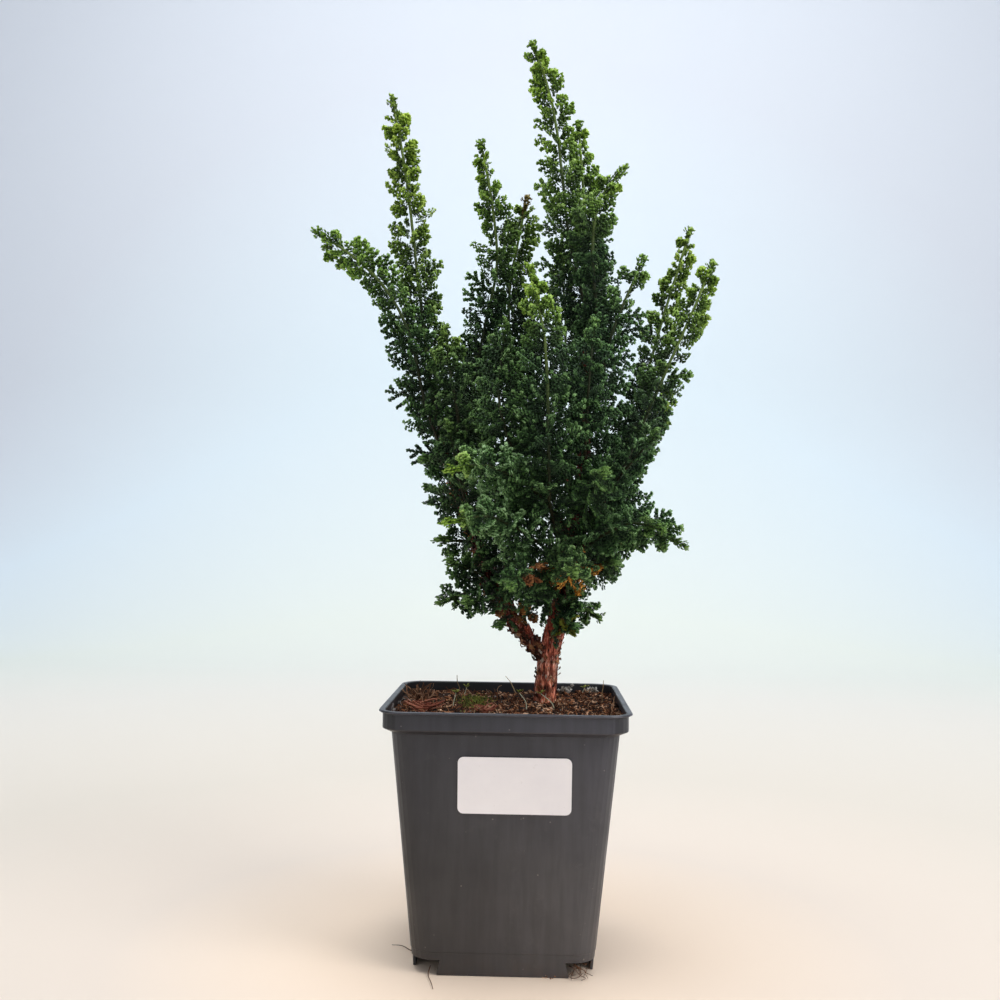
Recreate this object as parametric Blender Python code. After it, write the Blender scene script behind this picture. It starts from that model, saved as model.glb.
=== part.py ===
"""Hinoki cypress bonsai in its square nursery pot.

Metres, +Z up. The origin is the centre of the pot's foot, on the surface that it stands on.
The front of the plant, with the label, faces -Y.
"""

from collections import namedtuple
from math import cos, pi, radians, sin
from random import Random

import bpy
from mathutils import Matrix, Vector
from mathutils.bvhtree import BVHTree

MM = 0.001
GAP = 0.3 * MM                  # left between pieces that touch on the real plant

# Pot
POT_WIDTH = 110 * MM            # across the lip
POT_HEIGHT = 115 * MM
WALL = 1.1 * MM
LIP_OVERHANG = 1.7 * MM         # lip beyond the collar
LIP_THICKNESS = 1.0 * MM
LIP_ROUND = 0.35 * MM
COLLAR_FOOT = 107.0 * MM        # height where the collar starts
COLLAR_INNER_FOOT = 107.5 * MM  # the same, inside the pot
BODY_TOP = 105.0 * MM
BODY_TOP_WIDTH = 99.5 * MM
FOOT_WIDTH = 79.4 * MM
MOULD_LINE = 10.0 * MM          # height of the faint step round the foot
MOULD_STEP = 0.2 * MM
CORNER_RADIUS = 10.0 * MM
LIP_CORNER_RADIUS = 12.0 * MM
CORNER_STEPS = 6
FLOOR_UNDERSIDE = 7.4 * MM
FLOOR_THICKNESS = 1.2 * MM
NOTCH_HEIGHT = 6.6 * MM         # of the cut-away corners of the skirt
NOTCH_TOP_REACH = 12.5 * MM     # from the corner along each side
NOTCH_FOOT_REACH = 11.0 * MM
DRAIN_OFFSET = 26.0 * MM
DRAIN_RADIUS = 3.2 * MM
DRAIN_SIDES = 12
CUTTER_MARGIN = 2 * MM          # by which a cutter stands out of what it cuts

# Label
LABEL_WIDTH = 48.8 * MM
LABEL_HEIGHT = 24.6 * MM
LABEL_CORNER = 2.5 * MM
LABEL_THICKNESS = 0.3 * MM
LABEL_CENTRE_X = 4.4 * MM
LABEL_CENTRE_Z = 83.7 * MM

# Soil
SOIL_LEVEL = 109.3 * MM
SOIL_BUMP = 1.1 * MM
SOIL_RINGS = 6
SOIL_CORNER_STEPS = 3
SOIL_SIDE_STEPS = 5

# Woody frame
TRUNK_FOOT_RADIUS = 5.4 * MM
TRUNK_TOP_RADIUS = 2.3 * MM
TRUNK_SIDES = 10
LIMB_FOOT_RADIUS = 3.4 * MM
LIMB_TOP_RADIUS = 1.8 * MM
LIMB_SIDES = 8
LIMB_STEP = 14                  # millimetres between the rings of trunk and limb
BRANCH_FOOT_RADIUS = 1.8 * MM
BRANCH_SIDES = 4
BRANCH_STEP = 22 * MM
BRANCH_BEND = 0.3               # share of its reach in which a branch turns at either end
WOODY_SHARE = 0.4               # of the way from limb to leafy stem that is bare wood
SHORTEST_WOOD = 7 * MM
SHORTEST_LEAF = 12 * MM
CURVE_CLEARANCE = 3.6 * MM      # between the middles of a leafy stem and of another stem's way
LIMB_CLEARANCE = 5.8 * MM       # between the middles of a leafy stem and of the trunk or limb
SPLIT_INSET = 0.1               # share of a run that a split keeps from the ends of the run
BARK_RELIEF = 0.07              # share of the radius

# Foliage
STEM_RADIUS = 1.3 * MM          # where a leafy stem leaves its woody branch
STEM_TIP_RADIUS = 0.6 * MM
STEM_SIDES = 6
ROUTE_STEP = 6 * MM
HEART_SHARE = 0.2               # radius of a stem's dense heart, as a share of its low reach
HEART_TAPER = 0.8               # exponent of the heart's narrowing: below 1 it stays full longer
HEART_RELIEF = 0.15
HEART_CLEARANCE = 0.8 * MM      # between the hearts of two stems, or a heart and wood
LOW_PITCH = 4.3 * MM            # between whorls of side sprays, near the start of a stem
TIP_PITCH = 3.8 * MM
SPIN = radians(9)               # turn from whorl to whorl
LOW_TILT = radians(58)          # between a side spray and its stem
TIP_TILT = radians(48)
APEX_SHARE = 0.6                # length of a stem's pointed end, as a share of its tip reach
LOWEST_APEX = 0.1               # the same, where nothing longer is free
REACH_RANGE = (0.65, 1.2)       # random share of a side spray's length
SWAY = radians(14)              # random turn of a side spray, round its stem and up or down
END_TAPER = 22 * MM             # length at a stem's end in which its side sprays shorten
LONGEST_TAPER = 0.45            # the same at most, as a share of the stem
END_REACH = 0.45                # share of their length that side sprays keep at the very end
CLEARANCE = 0.4 * MM            # kept by a side spray from every other piece
TRIAL_SHARES = (1.0, 0.8, 0.6, 0.45, 0.3)  # of its length, where it would meet another piece

# Routes in millimetres. The trunk's first point is its foot in the soil.
LIMBS = {
    "trunk": [(18, 20, 85), (18, 20, 112), (19, 20, 129), (21, 20, 140), (25, 18, 156),
              (28, 15, 177), (32, 12, 199), (35, 10, 223), (35, 10, 247), (35, 9, 271)],
    "left": [(20, 20, 129), (11, 19, 139), (2, 18, 149), (-7, 18, 162), (-15, 18, 182),
             (-23, 17, 203), (-30, 16, 223)],
}

# Leafy stems: the limb that bears each and the share of that limb's length where its woody
# branch leaves, the length of its side sprays at its start and at its tip, and its route
# from the end of that branch.
GREEN = {
    "main_leader": ("trunk", 0.99, (19, 9),
        [(34, 8, 305), (26, 6, 339), (22, 4, 372), (17, 2, 401), (9, 0, 424)]),
    "main_twin": ("trunk", 0.96, (17, 8),
        [(38, 26, 314), (34, 24, 362), (31, 19, 395)]),
    "main_right": ("trunk", 0.94, (15, 13),
        [(40, -6, 293), (37, -12, 325), (40, -12, 348), (48, -12, 359)]),
    "tall_left": ("left", 0.99, (17, 11),
        [(-39, 14, 257), (-45, 13, 301), (-51, 11, 349), (-55, 8, 376), (-59, 5, 397)]),
    "far_left": ("left", 0.93, (15, 13),
        [(-42, 4, 255), (-50, 0, 288), (-62, -3, 309), (-76, -6, 322), (-90, -8, 331)]),
    "left_leader": ("left", 0.80, (17, 9),
        [(-22, 30, 254), (-15, 33, 295), (-9, 31, 327), (-12, 28, 360), (-17, 24, 384)]),
    "short_left": ("left", 0.88, (17, 11),
        [(-25, 0, 245), (-29, -6, 268), (-31, -8, 284)]),
    "rear_left_leader": ("trunk", 0.66, (22, 11),
        [(-1, 42, 260), (-3, 46, 313), (1, 44, 340), (5, 42, 361)]),
    "front_leader": ("trunk", 0.46, (23, 12),
        [(18, -30, 207), (17, -42, 241), (15, -44, 276), (9, -42, 303)]),
    "right_column": ("trunk", 0.84, (14, 9),
        [(40, 26, 274), (40, 30, 315), (41, 30, 348)]),
    "right_spur": ("trunk", 0.79, (16, 12),
        [(40, -14, 254), (46, -20, 284), (58, -22, 314)]),
    "right_leader": ("trunk", 0.57, (14, 8),
        [(49, 24, 220), (63, 28, 259), (74, 27, 299), (81, 24, 323), (86, 20, 341)]),
    "far_right": ("trunk", 0.54, (15, 12),
        [(49, 0, 214), (62, -4, 244), (74, -6, 273), (84, -8, 296), (91, -10, 314)]),
    "low_right": ("trunk", 0.43, (19, 14),
        [(48, 6, 197), (64, 4, 195), (79, 0, 189)]),
    "low_right_front": ("trunk", 0.40, (18, 11),
        [(41, -25, 191), (54, -38, 197), (64, -46, 195)]),
    "low_right_under": ("trunk", 0.37, (15, 11),
        [(46, 20, 188), (59, 26, 189)]),
    "right_twig": ("trunk", 0.31, (10, 7),
        [(35, 12, 156), (42, 8, 153)]),
    "low_front_right": ("trunk", 0.37, (15, 10),
        [(39, -12, 180), (47, -32, 179)]),
    "right_shoulder": ("trunk", 0.50, (17, 10),
        [(52, -26, 221), (62, -36, 233)]),
    "low_left_front": ("trunk", 0.48, (20, 11),
        [(6, -34, 215), (-10, -46, 221), (-23, -52, 219)]),
    "lower_left_front": ("trunk", 0.41, (19, 11),
        [(6, -30, 193), (-9, -46, 199), (-22, -52, 197)]),
    "low_left": ("left", 0.50, (19, 12),
        [(-20, 2, 188), (-29, -6, 188)]),
    "low_left_rear": ("left", 0.58, (19, 11),
        [(-28, 30, 207), (-40, 38, 213)]),
    "bottom_left": ("left", 0.30, (17, 13),
        [(-13, 4, 166), (-28, -3, 161)]),
    "bottom_left_front": ("left", 0.24, (12, 9),
        [(-9, -8, 161), (-17, -22, 161)]),
    "left_spur": ("left", 0.72, (18, 11),
        [(-31, 0, 225), (-38, -8, 226)]),
    "left_twig": ("left", 0.16, (9, 7),
        [(0, 8, 153), (-3, 2, 150)]),
    "low_front_left": ("trunk", 0.33, (15, 10),
        [(11, -12, 168), (5, -44, 173), (2, -58, 170)]),
    "low_front": ("trunk", 0.38, (18, 11),
        [(29, -24, 180), (28, -64, 176)]),
    "front_shoulder": ("trunk", 0.53, (20, 11),
        [(37, -34, 210), (40, -64, 217)]),
    "front_right_column": ("trunk", 0.62, (22, 11),
        [(34, -26, 230), (35, -36, 260), (37, -36, 284)]),
    "front_left_column": ("trunk", 0.55, (22, 11),
        [(3, -22, 224), (-5, -34, 251), (-3, -36, 279)]),
    "rear_leader": ("trunk", 0.59, (22, 11),
        [(24, 48, 246), (27, 58, 301), (23, 56, 340)]),
    "rear_right_leader": ("trunk", 0.51, (17, 10),
        [(60, 48, 228), (75, 53, 256), (82, 53, 271)]),
    "rear_far_left": ("left", 0.62, (20, 11),
        [(-16, 46, 235), (-21, 54, 270), (-23, 55, 290)]),
    "rear_centre": ("trunk", 0.48, (22, 11),
        [(10, 50, 236), (6, 57, 285), (1, 58, 315)]),
    "rear_low_right": ("trunk", 0.39, (19, 11),
        [(45, 42, 194), (59, 60, 207)]),
    "rear_low_left": ("left", 0.42, (19, 11),
        [(-11, 46, 189), (-24, 62, 196)]),
    "rear_low": ("trunk", 0.37, (18, 11),
        [(26, 46, 178), (31, 61, 183)]),
    "rear_bottom": ("trunk", 0.30, (16, 11),
        [(16, 40, 163), (11, 60, 164)]),
    "rear_bottom_left": ("left", 0.30, (16, 11),
        [(-5, 40, 168), (-16, 56, 166)]),
    "rear_column": ("trunk", 0.70, (16, 9),
        [(37, 44, 266), (41, 50, 302)]),
    "rear_left_spur": ("left", 0.76, (19, 11),
        [(-34, 36, 244), (-40, 42, 273)]),
    "rear_under": ("trunk", 0.41, (18, 11),
        [(41, 38, 178), (49, 56, 176)]),
    "left_inner": ("left", 0.22, (17, 11),
        [(-2, 4, 176), (-5, -14, 198), (-8, -22, 222)]),
    "left_front": ("left", 0.45, (18, 11),
        [(-18, 4, 196), (-24, -8, 218), (-28, -14, 238)]),
    "left_low": ("left", 0.38, (17, 12),
        [(-13, 0, 172), (-24, -10, 177)]),
}

# Withered sprays, in the same terms.
WITHERED = {
    "brown": ("trunk", 0.36, (11, 8),
        [(21, -4, 171), (16, -18, 176)]),
    "orange": ("trunk", 0.33, (11, 8),
        [(30, -2, 160), (32, -16, 166)]),
    "rust": ("left", 0.10, (11, 8),
        [(7, 5, 154), (7, -8, 157)]),
    "yellow": ("trunk", 0.30, (9, 7),
        [(27, 4, 149), (31, -5, 149)]),
}

Whorl = namedtuple("Whorl", "share centre way first second radius")


def clear_scene():
    for item in list(bpy.data.objects):
        bpy.data.objects.remove(item, do_unlink=True)


def material(name, colour, roughness):
    made = bpy.data.materials.new(name)
    made.use_nodes = True
    surface = made.node_tree.nodes["Principled BSDF"]
    surface.inputs["Base Color"].default_value = (*colour, 1.0)
    surface.inputs["Roughness"].default_value = roughness
    surface.inputs["Metallic"].default_value = 0.0
    return made


def add_object(name, skin, finish=None, collection=None):
    vertices, faces = skin
    mesh = bpy.data.meshes.new(name)
    mesh.from_pydata([tuple(v) for v in vertices], [], faces)
    mesh.update()
    if finish:
        mesh.materials.append(finish)
    made = bpy.data.objects.new(name, mesh)
    (collection or bpy.context.scene.collection).objects.link(made)
    return made


def new_collection(name):
    made = bpy.data.collections.new(name)
    bpy.context.scene.collection.children.link(made)
    return made


def loft(rings):
    """Closed skin over rings of equal counts, each anticlockwise about the way they follow."""
    count = len(rings[0])
    vertices = [point for ring in rings for point in ring]
    faces = [tuple(reversed(range(count)))]
    for low in range(0, (len(rings) - 1) * count, count):
        for i in range(count):
            j = (i + 1) % count
            faces.append((low + i, low + j, low + count + j, low + count + i))
    faces.append(tuple(range(len(vertices) - count, len(vertices))))
    return vertices, faces


def apply_boolean(base, operation, parts, solver="EXACT"):
    """Applies one Boolean with a collection's objects, then removes them."""
    modifier = base.modifiers.new("Cut or join", "BOOLEAN")
    modifier.operation = operation
    modifier.operand_type = "COLLECTION"
    modifier.collection = parts
    modifier.solver = solver
    evaluated = base.evaluated_get(bpy.context.evaluated_depsgraph_get())
    result = bpy.data.meshes.new_from_object(evaluated)
    base.modifiers.clear()
    base.data = result
    for item in list(parts.objects):
        bpy.data.objects.remove(item, do_unlink=True)
    bpy.data.collections.remove(parts)


def shade(item, angle=radians(35)):
    item.data.shade_smooth()
    item.data.set_sharp_from_angle(angle=angle)


# Curves

def smooth_route(points, step):
    """Points about one step apart on a Catmull-Rom curve through the route's own points."""
    knots = [Vector(p) for p in points]
    ends = [2 * knots[0] - knots[1]] + knots + [2 * knots[-1] - knots[-2]]
    route = [knots[0]]
    for i in range(len(knots) - 1):
        before, start, end, after = ends[i:i + 4]
        pieces = max(1, round((end - start).length / step))
        for k in range(1, pieces + 1):
            t = k / pieces
            route.append(0.5 * (2 * start + (end - before) * t
                                + (2 * before - 5 * start + 4 * end - after) * t ** 2
                                + (3 * start - before - 3 * end + after) * t ** 3))
    return route


def route_length(route):
    return sum((b - a).length for a, b in zip(route, route[1:]))


def along(route, distance):
    """Point and direction at a distance along a route."""
    for a, b in zip(route, route[1:]):
        run = (b - a).length
        if distance < run:
            return a + (b - a) * (distance / run), (b - a).normalized()
        distance -= run
    return route[-1].copy(), (route[-1] - route[-2]).normalized()


def reference_axis(route):
    """An axis well across the route as a whole, from which its rings are turned."""
    whole = (route[-1] - route[0]).normalized()
    return Vector((0, 1, 0)) if abs(whole.y) < 0.8 else Vector((1, 0, 0))


def tube(route, radii, sides, rng=None, relief=0.0, plain_rings=0):
    """Closed tube with a radius at each point of its route, rough past the plain rings."""
    reference = reference_axis(route)
    rings = []
    for i, point in enumerate(route):
        ahead = route[min(i + 1, len(route) - 1)]
        direction = (ahead - route[max(i - 1, 0)]).normalized()
        first = reference.cross(direction).normalized()
        second = direction.cross(first)
        ring = []
        for k in range(sides):
            angle = 2 * pi * k / sides
            rough = rng.uniform(-relief, relief) if rng and i >= plain_rings else 0
            ring.append(point + radii[i] * (1 + rough) * (cos(angle) * first + sin(angle) * second))
        rings.append(ring)
    return loft(rings)


def taper(start, end, count):
    return [start + (end - start) * i / (count - 1) for i in range(count)]


def split_route(route, distance, gap):
    """The route up to a distance, and the rest of it after a gap. Both end in line there."""
    for i, (a, b) in enumerate(zip(route, route[1:])):
        run = (b - a).length
        if distance < run:
            way = (b - a).normalized()
            spot = min(max(distance, SPLIT_INSET * run), (1 - SPLIT_INSET) * run)
            return route[:i + 1] + [a + way * spot], [a + way * (spot + gap)] + route[i + 1:]
        distance -= run
    raise ValueError("the route is shorter than the distance")


# Pot, label and soil

def rounded_square(width, radius, z, corner_steps=CORNER_STEPS, side_steps=1):
    """Ring of points anticlockwise seen from above."""
    centre = width / 2 - radius
    ring = []
    for corner in range(4):
        start = corner * pi / 2
        x = centre * (1 if cos(start + pi / 4) > 0 else -1)
        y = centre * (1 if sin(start + pi / 4) > 0 else -1)
        for k in range(corner_steps + 1):
            angle = start + (pi / 2) * k / corner_steps
            ring.append(Vector((x + radius * cos(angle), y + radius * sin(angle), z)))
        way = Vector((-cos(start), -sin(start), 0)) * (2 * centre / side_steps)
        for k in range(1, side_steps):
            ring.append(ring[-1] + way)
    return ring


def body_width(z):
    return FOOT_WIDTH + (BODY_TOP_WIDTH - FOOT_WIDTH) * z / BODY_TOP


def make_pot(finish):
    collar_width = POT_WIDTH - 2 * LIP_OVERHANG
    lip_inner = collar_width - 2 * WALL
    inner_radius = CORNER_RADIUS - WALL
    floor_top = FLOOR_UNDERSIDE + FLOOR_THICKNESS
    rings = [
        rounded_square(body_width(FLOOR_UNDERSIDE) - 2 * WALL, inner_radius, FLOOR_UNDERSIDE),
        rounded_square(FOOT_WIDTH - 2 * WALL, inner_radius, 0),
        rounded_square(FOOT_WIDTH, CORNER_RADIUS, 0),
        rounded_square(body_width(MOULD_LINE), CORNER_RADIUS, MOULD_LINE),
        rounded_square(body_width(MOULD_LINE) + 2 * MOULD_STEP, CORNER_RADIUS, MOULD_LINE + MOULD_STEP),
        rounded_square(BODY_TOP_WIDTH, CORNER_RADIUS, BODY_TOP),
        rounded_square(collar_width - 2 * MOULD_STEP, CORNER_RADIUS, COLLAR_FOOT),
        rounded_square(collar_width, CORNER_RADIUS, COLLAR_FOOT + LIP_ROUND),
        rounded_square(collar_width, CORNER_RADIUS, POT_HEIGHT - LIP_THICKNESS - LIP_ROUND),
        rounded_square(POT_WIDTH - 2 * LIP_ROUND, LIP_CORNER_RADIUS, POT_HEIGHT - LIP_THICKNESS),
        rounded_square(POT_WIDTH, LIP_CORNER_RADIUS, POT_HEIGHT - LIP_THICKNESS + LIP_ROUND),
        rounded_square(POT_WIDTH - 2 * LIP_ROUND, LIP_CORNER_RADIUS, POT_HEIGHT),
        rounded_square(lip_inner + 2 * LIP_ROUND, inner_radius, POT_HEIGHT),
        rounded_square(lip_inner, inner_radius, POT_HEIGHT - LIP_ROUND),
        rounded_square(lip_inner, inner_radius, COLLAR_INNER_FOOT),
        rounded_square(BODY_TOP_WIDTH - 2 * WALL, inner_radius, BODY_TOP),
        rounded_square(body_width(floor_top) - 2 * WALL, inner_radius, floor_top),
    ]
    pot = add_object("pot", loft(rings), finish)
    cutters = new_collection("pot cutters")
    for side_x in (-1, 1):
        for side_y in (-1, 1):
            add_notch(side_x, side_y, cutters)
            add_drain(side_x * DRAIN_OFFSET, side_y * DRAIN_OFFSET, cutters)
    apply_boolean(pot, "DIFFERENCE", cutters)
    shade(pot)
    return pot


def add_notch(side_x, side_y, cutters):
    """Cuts a corner of the skirt away. Its ends slant, so that the tabs widen downwards."""
    outside = POT_WIDTH / 2
    slope = (NOTCH_TOP_REACH - NOTCH_FOOT_REACH) / NOTCH_HEIGHT
    rings = []
    for z in (-CUTTER_MARGIN, NOTCH_HEIGHT):
        inside = FOOT_WIDTH / 2 - NOTCH_FOOT_REACH - slope * z
        ring = [Vector((side_x * x, side_y * y, z)) for x, y in
                ((inside, inside), (outside, inside), (outside, outside), (inside, outside))]
        rings.append(ring if side_x * side_y > 0 else ring[::-1])
    add_object("notch cutter", loft(rings), None, cutters)


def add_drain(x, y, cutters):
    rings = []
    for z in (FLOOR_UNDERSIDE - CUTTER_MARGIN, FLOOR_UNDERSIDE + FLOOR_THICKNESS + CUTTER_MARGIN):
        rings.append([Vector((x + DRAIN_RADIUS * cos(2 * pi * k / DRAIN_SIDES),
                              y + DRAIN_RADIUS * sin(2 * pi * k / DRAIN_SIDES), z))
                      for k in range(DRAIN_SIDES)])
    add_object("drain cutter", loft(rings), None, cutters)


def make_label(finish):
    """Thin blank plate along the slope of the front wall."""
    rings = []
    for depth in (0, LABEL_THICKNESS):
        ring = []
        for corner in range(4):
            turn = corner * pi / 2 + pi / 4
            x = (LABEL_WIDTH / 2 - LABEL_CORNER) * (1 if cos(turn) > 0 else -1)
            y = (LABEL_HEIGHT / 2 - LABEL_CORNER) * (1 if sin(turn) > 0 else -1)
            for k in range(CORNER_STEPS + 1):
                angle = corner * pi / 2 + (pi / 2) * k / CORNER_STEPS
                ring.append(Vector((x + LABEL_CORNER * cos(angle), y + LABEL_CORNER * sin(angle), depth)))
        rings.append(ring)
    label = add_object("label", loft(rings), finish)
    slope = (BODY_TOP_WIDTH - FOOT_WIDTH) / 2 / BODY_TOP
    up = Vector((0, -slope, 1)).normalized()
    across = Vector((1, 0, 0))
    out = across.cross(up)
    wall = Vector((LABEL_CENTRE_X, -body_width(LABEL_CENTRE_Z) / 2 - MOULD_STEP, LABEL_CENTRE_Z))
    place = Matrix((across, up, out)).transposed().to_4x4()
    place.translation = wall + out * GAP
    label.matrix_world = place
    return label


def soil_ring(width, z):
    return rounded_square(width, CORNER_RADIUS - WALL - GAP, z, SOIL_CORNER_STEPS, SOIL_SIDE_STEPS)


def make_soil(finish, trunk_foot):
    """Fills the pot up to the collar, with a bumpy top and a plain hole for the trunk."""
    rng = Random(3)
    floor_top = FLOOR_UNDERSIDE + FLOOR_THICKNESS
    inside = 2 * WALL + 2 * GAP
    top_width = POT_WIDTH - 2 * LIP_OVERHANG - inside
    rings = [
        soil_ring(body_width(floor_top + GAP) - inside, floor_top + GAP),
        soil_ring(BODY_TOP_WIDTH - inside, BODY_TOP + GAP),
        soil_ring(top_width, COLLAR_INNER_FOOT + GAP),
        soil_ring(top_width, SOIL_LEVEL - SOIL_BUMP / 2),
    ]
    rim = rings[-1]
    hole = hole_ring(rim, trunk_foot, SOIL_LEVEL)
    for level in range(1, SOIL_RINGS):
        ring = []
        for outer, inner in zip(rim, hole):
            point = outer.lerp(inner, level / SOIL_RINGS)
            point.z = SOIL_LEVEL + rng.uniform(-SOIL_BUMP, SOIL_BUMP)
            ring.append(point)
        rings.append(ring)
    rings.append(hole)
    rings.append(hole_ring(rim, trunk_foot, trunk_foot.z - GAP))
    soil = add_object("soil", loft(rings), finish)
    shade(soil)


def hole_ring(rim, centre, z):
    """Ring round the trunk's foot whose points lie in line with those of the rim."""
    ring = []
    for point in rim:
        way = Vector((point.x - centre.x, point.y - centre.y, 0)).normalized()
        ring.append(Vector((centre.x, centre.y, z)) + way * (TRUNK_FOOT_RADIUS + GAP))
    return ring


# Woody frame

def branch_route(limb, share, route):
    """Curve from a limb to the start of a stem's own route, which it joins in line."""
    start = route[0]
    heading = (route[1] - start).normalized()
    base, limb_way = along(limb, share * route_length(limb))
    reach = (start - base).length
    leave = (limb_way + (start - base).normalized()).normalized()
    handle_a = base + leave * reach * BRANCH_BEND
    handle_b = start - heading * reach * BRANCH_BEND
    pieces = max(2, round(reach / BRANCH_STEP))
    curve = []
    for k in range(pieces):
        t = k / pieces
        curve.append(base * (1 - t) ** 3 + handle_a * 3 * t * (1 - t) ** 2
                     + handle_b * 3 * t ** 2 * (1 - t) + start * t ** 3)
    return curve


def make_trunk(finish, limbs, branches):
    """Trunk, left limb and woody branches, grown as one piece. Also returns their single skins."""
    rng = Random(11)
    foot_rings = 1 + sum(1 for p in limbs["trunk"] if p.z < SOIL_LEVEL)
    trunk_radii = taper(TRUNK_FOOT_RADIUS, TRUNK_TOP_RADIUS, len(limbs["trunk"]))
    limb_radii = taper(LIMB_FOOT_RADIUS, LIMB_TOP_RADIUS, len(limbs["left"]))
    skins = [tube(limbs["trunk"], trunk_radii, TRUNK_SIDES, rng, BARK_RELIEF, foot_rings),
             tube(limbs["left"], limb_radii, LIMB_SIDES, rng, BARK_RELIEF)]
    for branch in branches.values():
        skins.append(tube(branch, taper(BRANCH_FOOT_RADIUS, STEM_RADIUS, len(branch)), BRANCH_SIDES))
    trunk = add_object("trunk", skins[0], finish)
    parts = new_collection("limb and branches")
    for skin in skins[1:]:
        add_object("branch", skin, None, parts)
    apply_boolean(trunk, "UNION", parts, "MANIFOLD")
    shade(trunk)
    return skins


# Foliage

class Space:
    """What stands where, so that each spray keeps clear of every piece but its own."""

    def __init__(self):
        self.pieces = []

    def box(self, vertices):
        low = Vector([min(v[i] for v in vertices) for i in range(3)])
        high = Vector([max(v[i] for v in vertices) for i in range(3)])
        return low, high

    def add(self, owner, skin):
        vertices, faces = skin
        tree = BVHTree.FromPolygons(vertices, faces)
        self.pieces.append((owner, self.box(vertices), tree))

    def is_free(self, owner, skin):
        vertices, faces = skin
        low, high = self.box(vertices)
        tree = BVHTree.FromPolygons(vertices, faces)
        for other, (other_low, other_high), other_tree in self.pieces:
            if other == owner:
                continue
            if any(low[i] > other_high[i] or high[i] < other_low[i] for i in range(3)):
                continue
            if tree.overlap(other_tree):
                return False
        return True


class Stem:
    """A leafy stem: its way from the limb, the reach of its side sprays and its whorls."""

    def __init__(self, limbs, limb, share, reach, points):
        own = [p * MM for p in smooth_route(points, ROUTE_STEP / MM)]
        bare = branch_route(limbs[limb], share, own)
        self.curve = bare + own
        self.wood = max(SHORTEST_WOOD, WOODY_SHARE * route_length(bare + own[:1]))
        self.low_reach, self.tip_reach = (r * MM for r in reach)
        self.whorls = []

    def split(self, others, limbs):
        """Leaves start past the last place where the way runs close to other wood or leaves."""
        total = route_length(self.curve)
        distance = self.wood
        while distance < total - SHORTEST_LEAF:
            point, _ = along(self.curve, distance)
            near = min(distance_to_route(point, other) for other in others) < CURVE_CLEARANCE
            near = near or any(distance_to_route(point, limb) < LIMB_CLEARANCE for limb in limbs)
            if near:
                self.wood = distance + ROUTE_STEP / 2
            distance += ROUTE_STEP / 2
        self.branch, self.route = split_route(self.curve, self.wood, GAP)
        self.length = route_length(self.route)

    def place_whorls(self, others):
        """Centre, axes and heart radius of each whorl. Hearts stay clear of the other routes."""
        reference = reference_axis(self.route)
        heart = HEART_SHARE * self.low_reach
        distance = 0
        while distance < self.length:
            share = distance / self.length
            centre, way = along(self.route, distance)
            first = reference.cross(way).normalized()
            full = STEM_TIP_RADIUS + (heart - STEM_TIP_RADIUS) * (1 - share) ** HEART_TAPER
            room = min(distance_to_route(centre, other) for other in others) / 2 - HEART_CLEARANCE
            slim = STEM_RADIUS + (STEM_TIP_RADIUS - STEM_RADIUS) * share
            radius = max(slim, min(full, room)) if self.whorls else slim
            self.whorls.append(Whorl(share, centre, way, first, way.cross(first), radius))
            distance += LOW_PITCH + (TIP_PITCH - LOW_PITCH) * share

    def apex(self, share):
        last = self.whorls[-1]
        return last.centre + last.way * (self.tip_reach * share)

    def heart_rings(self, rng):
        rings = []
        for i, whorl in enumerate(self.whorls):
            ring = []
            for k in range(STEM_SIDES):
                angle = 2 * pi * k / STEM_SIDES + SPIN * i
                size = whorl.radius * (1 + (rng.uniform(-HEART_RELIEF, HEART_RELIEF) if i else 0))
                ring.append(whorl.centre + size * (cos(angle) * whorl.first + sin(angle) * whorl.second))
            rings.append(ring)
        return rings


def distance_to_route(point, route):
    return min(distance_to_run(point, a, b) for a, b in zip(route, route[1:]))


def distance_to_run(point, a, b):
    run = b - a
    t = max(0, min(1, (point - a).dot(run) / run.length_squared))
    return (a + run * t - point).length


def raise_sprays(space, owner, stem, rings, rng):
    """Pulls every other point of each whorl out to the tip of a side spray, in turns."""
    for i in range(1, len(rings) - 1):
        whorl = stem.whorls[i]
        reach = stem.low_reach + (stem.tip_reach - stem.low_reach) * whorl.share
        to_end = stem.length * (1 - whorl.share) / min(END_TAPER, LONGEST_TAPER * stem.length)
        reach *= END_REACH + (1 - END_REACH) * min(1, to_end)
        tilt = LOW_TILT + (TIP_TILT - LOW_TILT) * whorl.share
        for k in range(i % 2, STEM_SIDES, 2):
            root = rings[i][k]
            foot = [rings[i][k - 1], rings[i + 1][k], rings[i][(k + 1) % STEM_SIDES], rings[i - 1][k]]
            outward = (root - whorl.centre).normalized()
            outward = Matrix.Rotation(rng.uniform(-SWAY, SWAY), 3, whorl.way) @ outward
            lean = tilt + rng.uniform(-SWAY, SWAY)
            direction = cos(lean) * whorl.way + sin(lean) * outward
            length = reach * rng.uniform(*REACH_RANGE)
            for trial in TRIAL_SHARES:
                tip = root + direction * length * trial
                if space.is_free(owner, pyramid(foot, root, tip + direction * CLEARANCE, CLEARANCE)):
                    space.add(owner, pyramid(foot, root, tip, 0))
                    rings[i][k] = tip
                    break


def raise_apex(space, owner, stem, rings):
    """The highest free place for the stem's pointed end."""
    whorl = stem.whorls[-1]
    for trial in TRIAL_SHARES:
        tip = stem.apex(APEX_SHARE * trial)
        if space.is_free(owner, pyramid(rings[-1], whorl.centre, tip + whorl.way * CLEARANCE, CLEARANCE)):
            space.add(owner, pyramid(rings[-1], whorl.centre, tip, 0))
            return tip
    return stem.apex(LOWEST_APEX)


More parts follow.
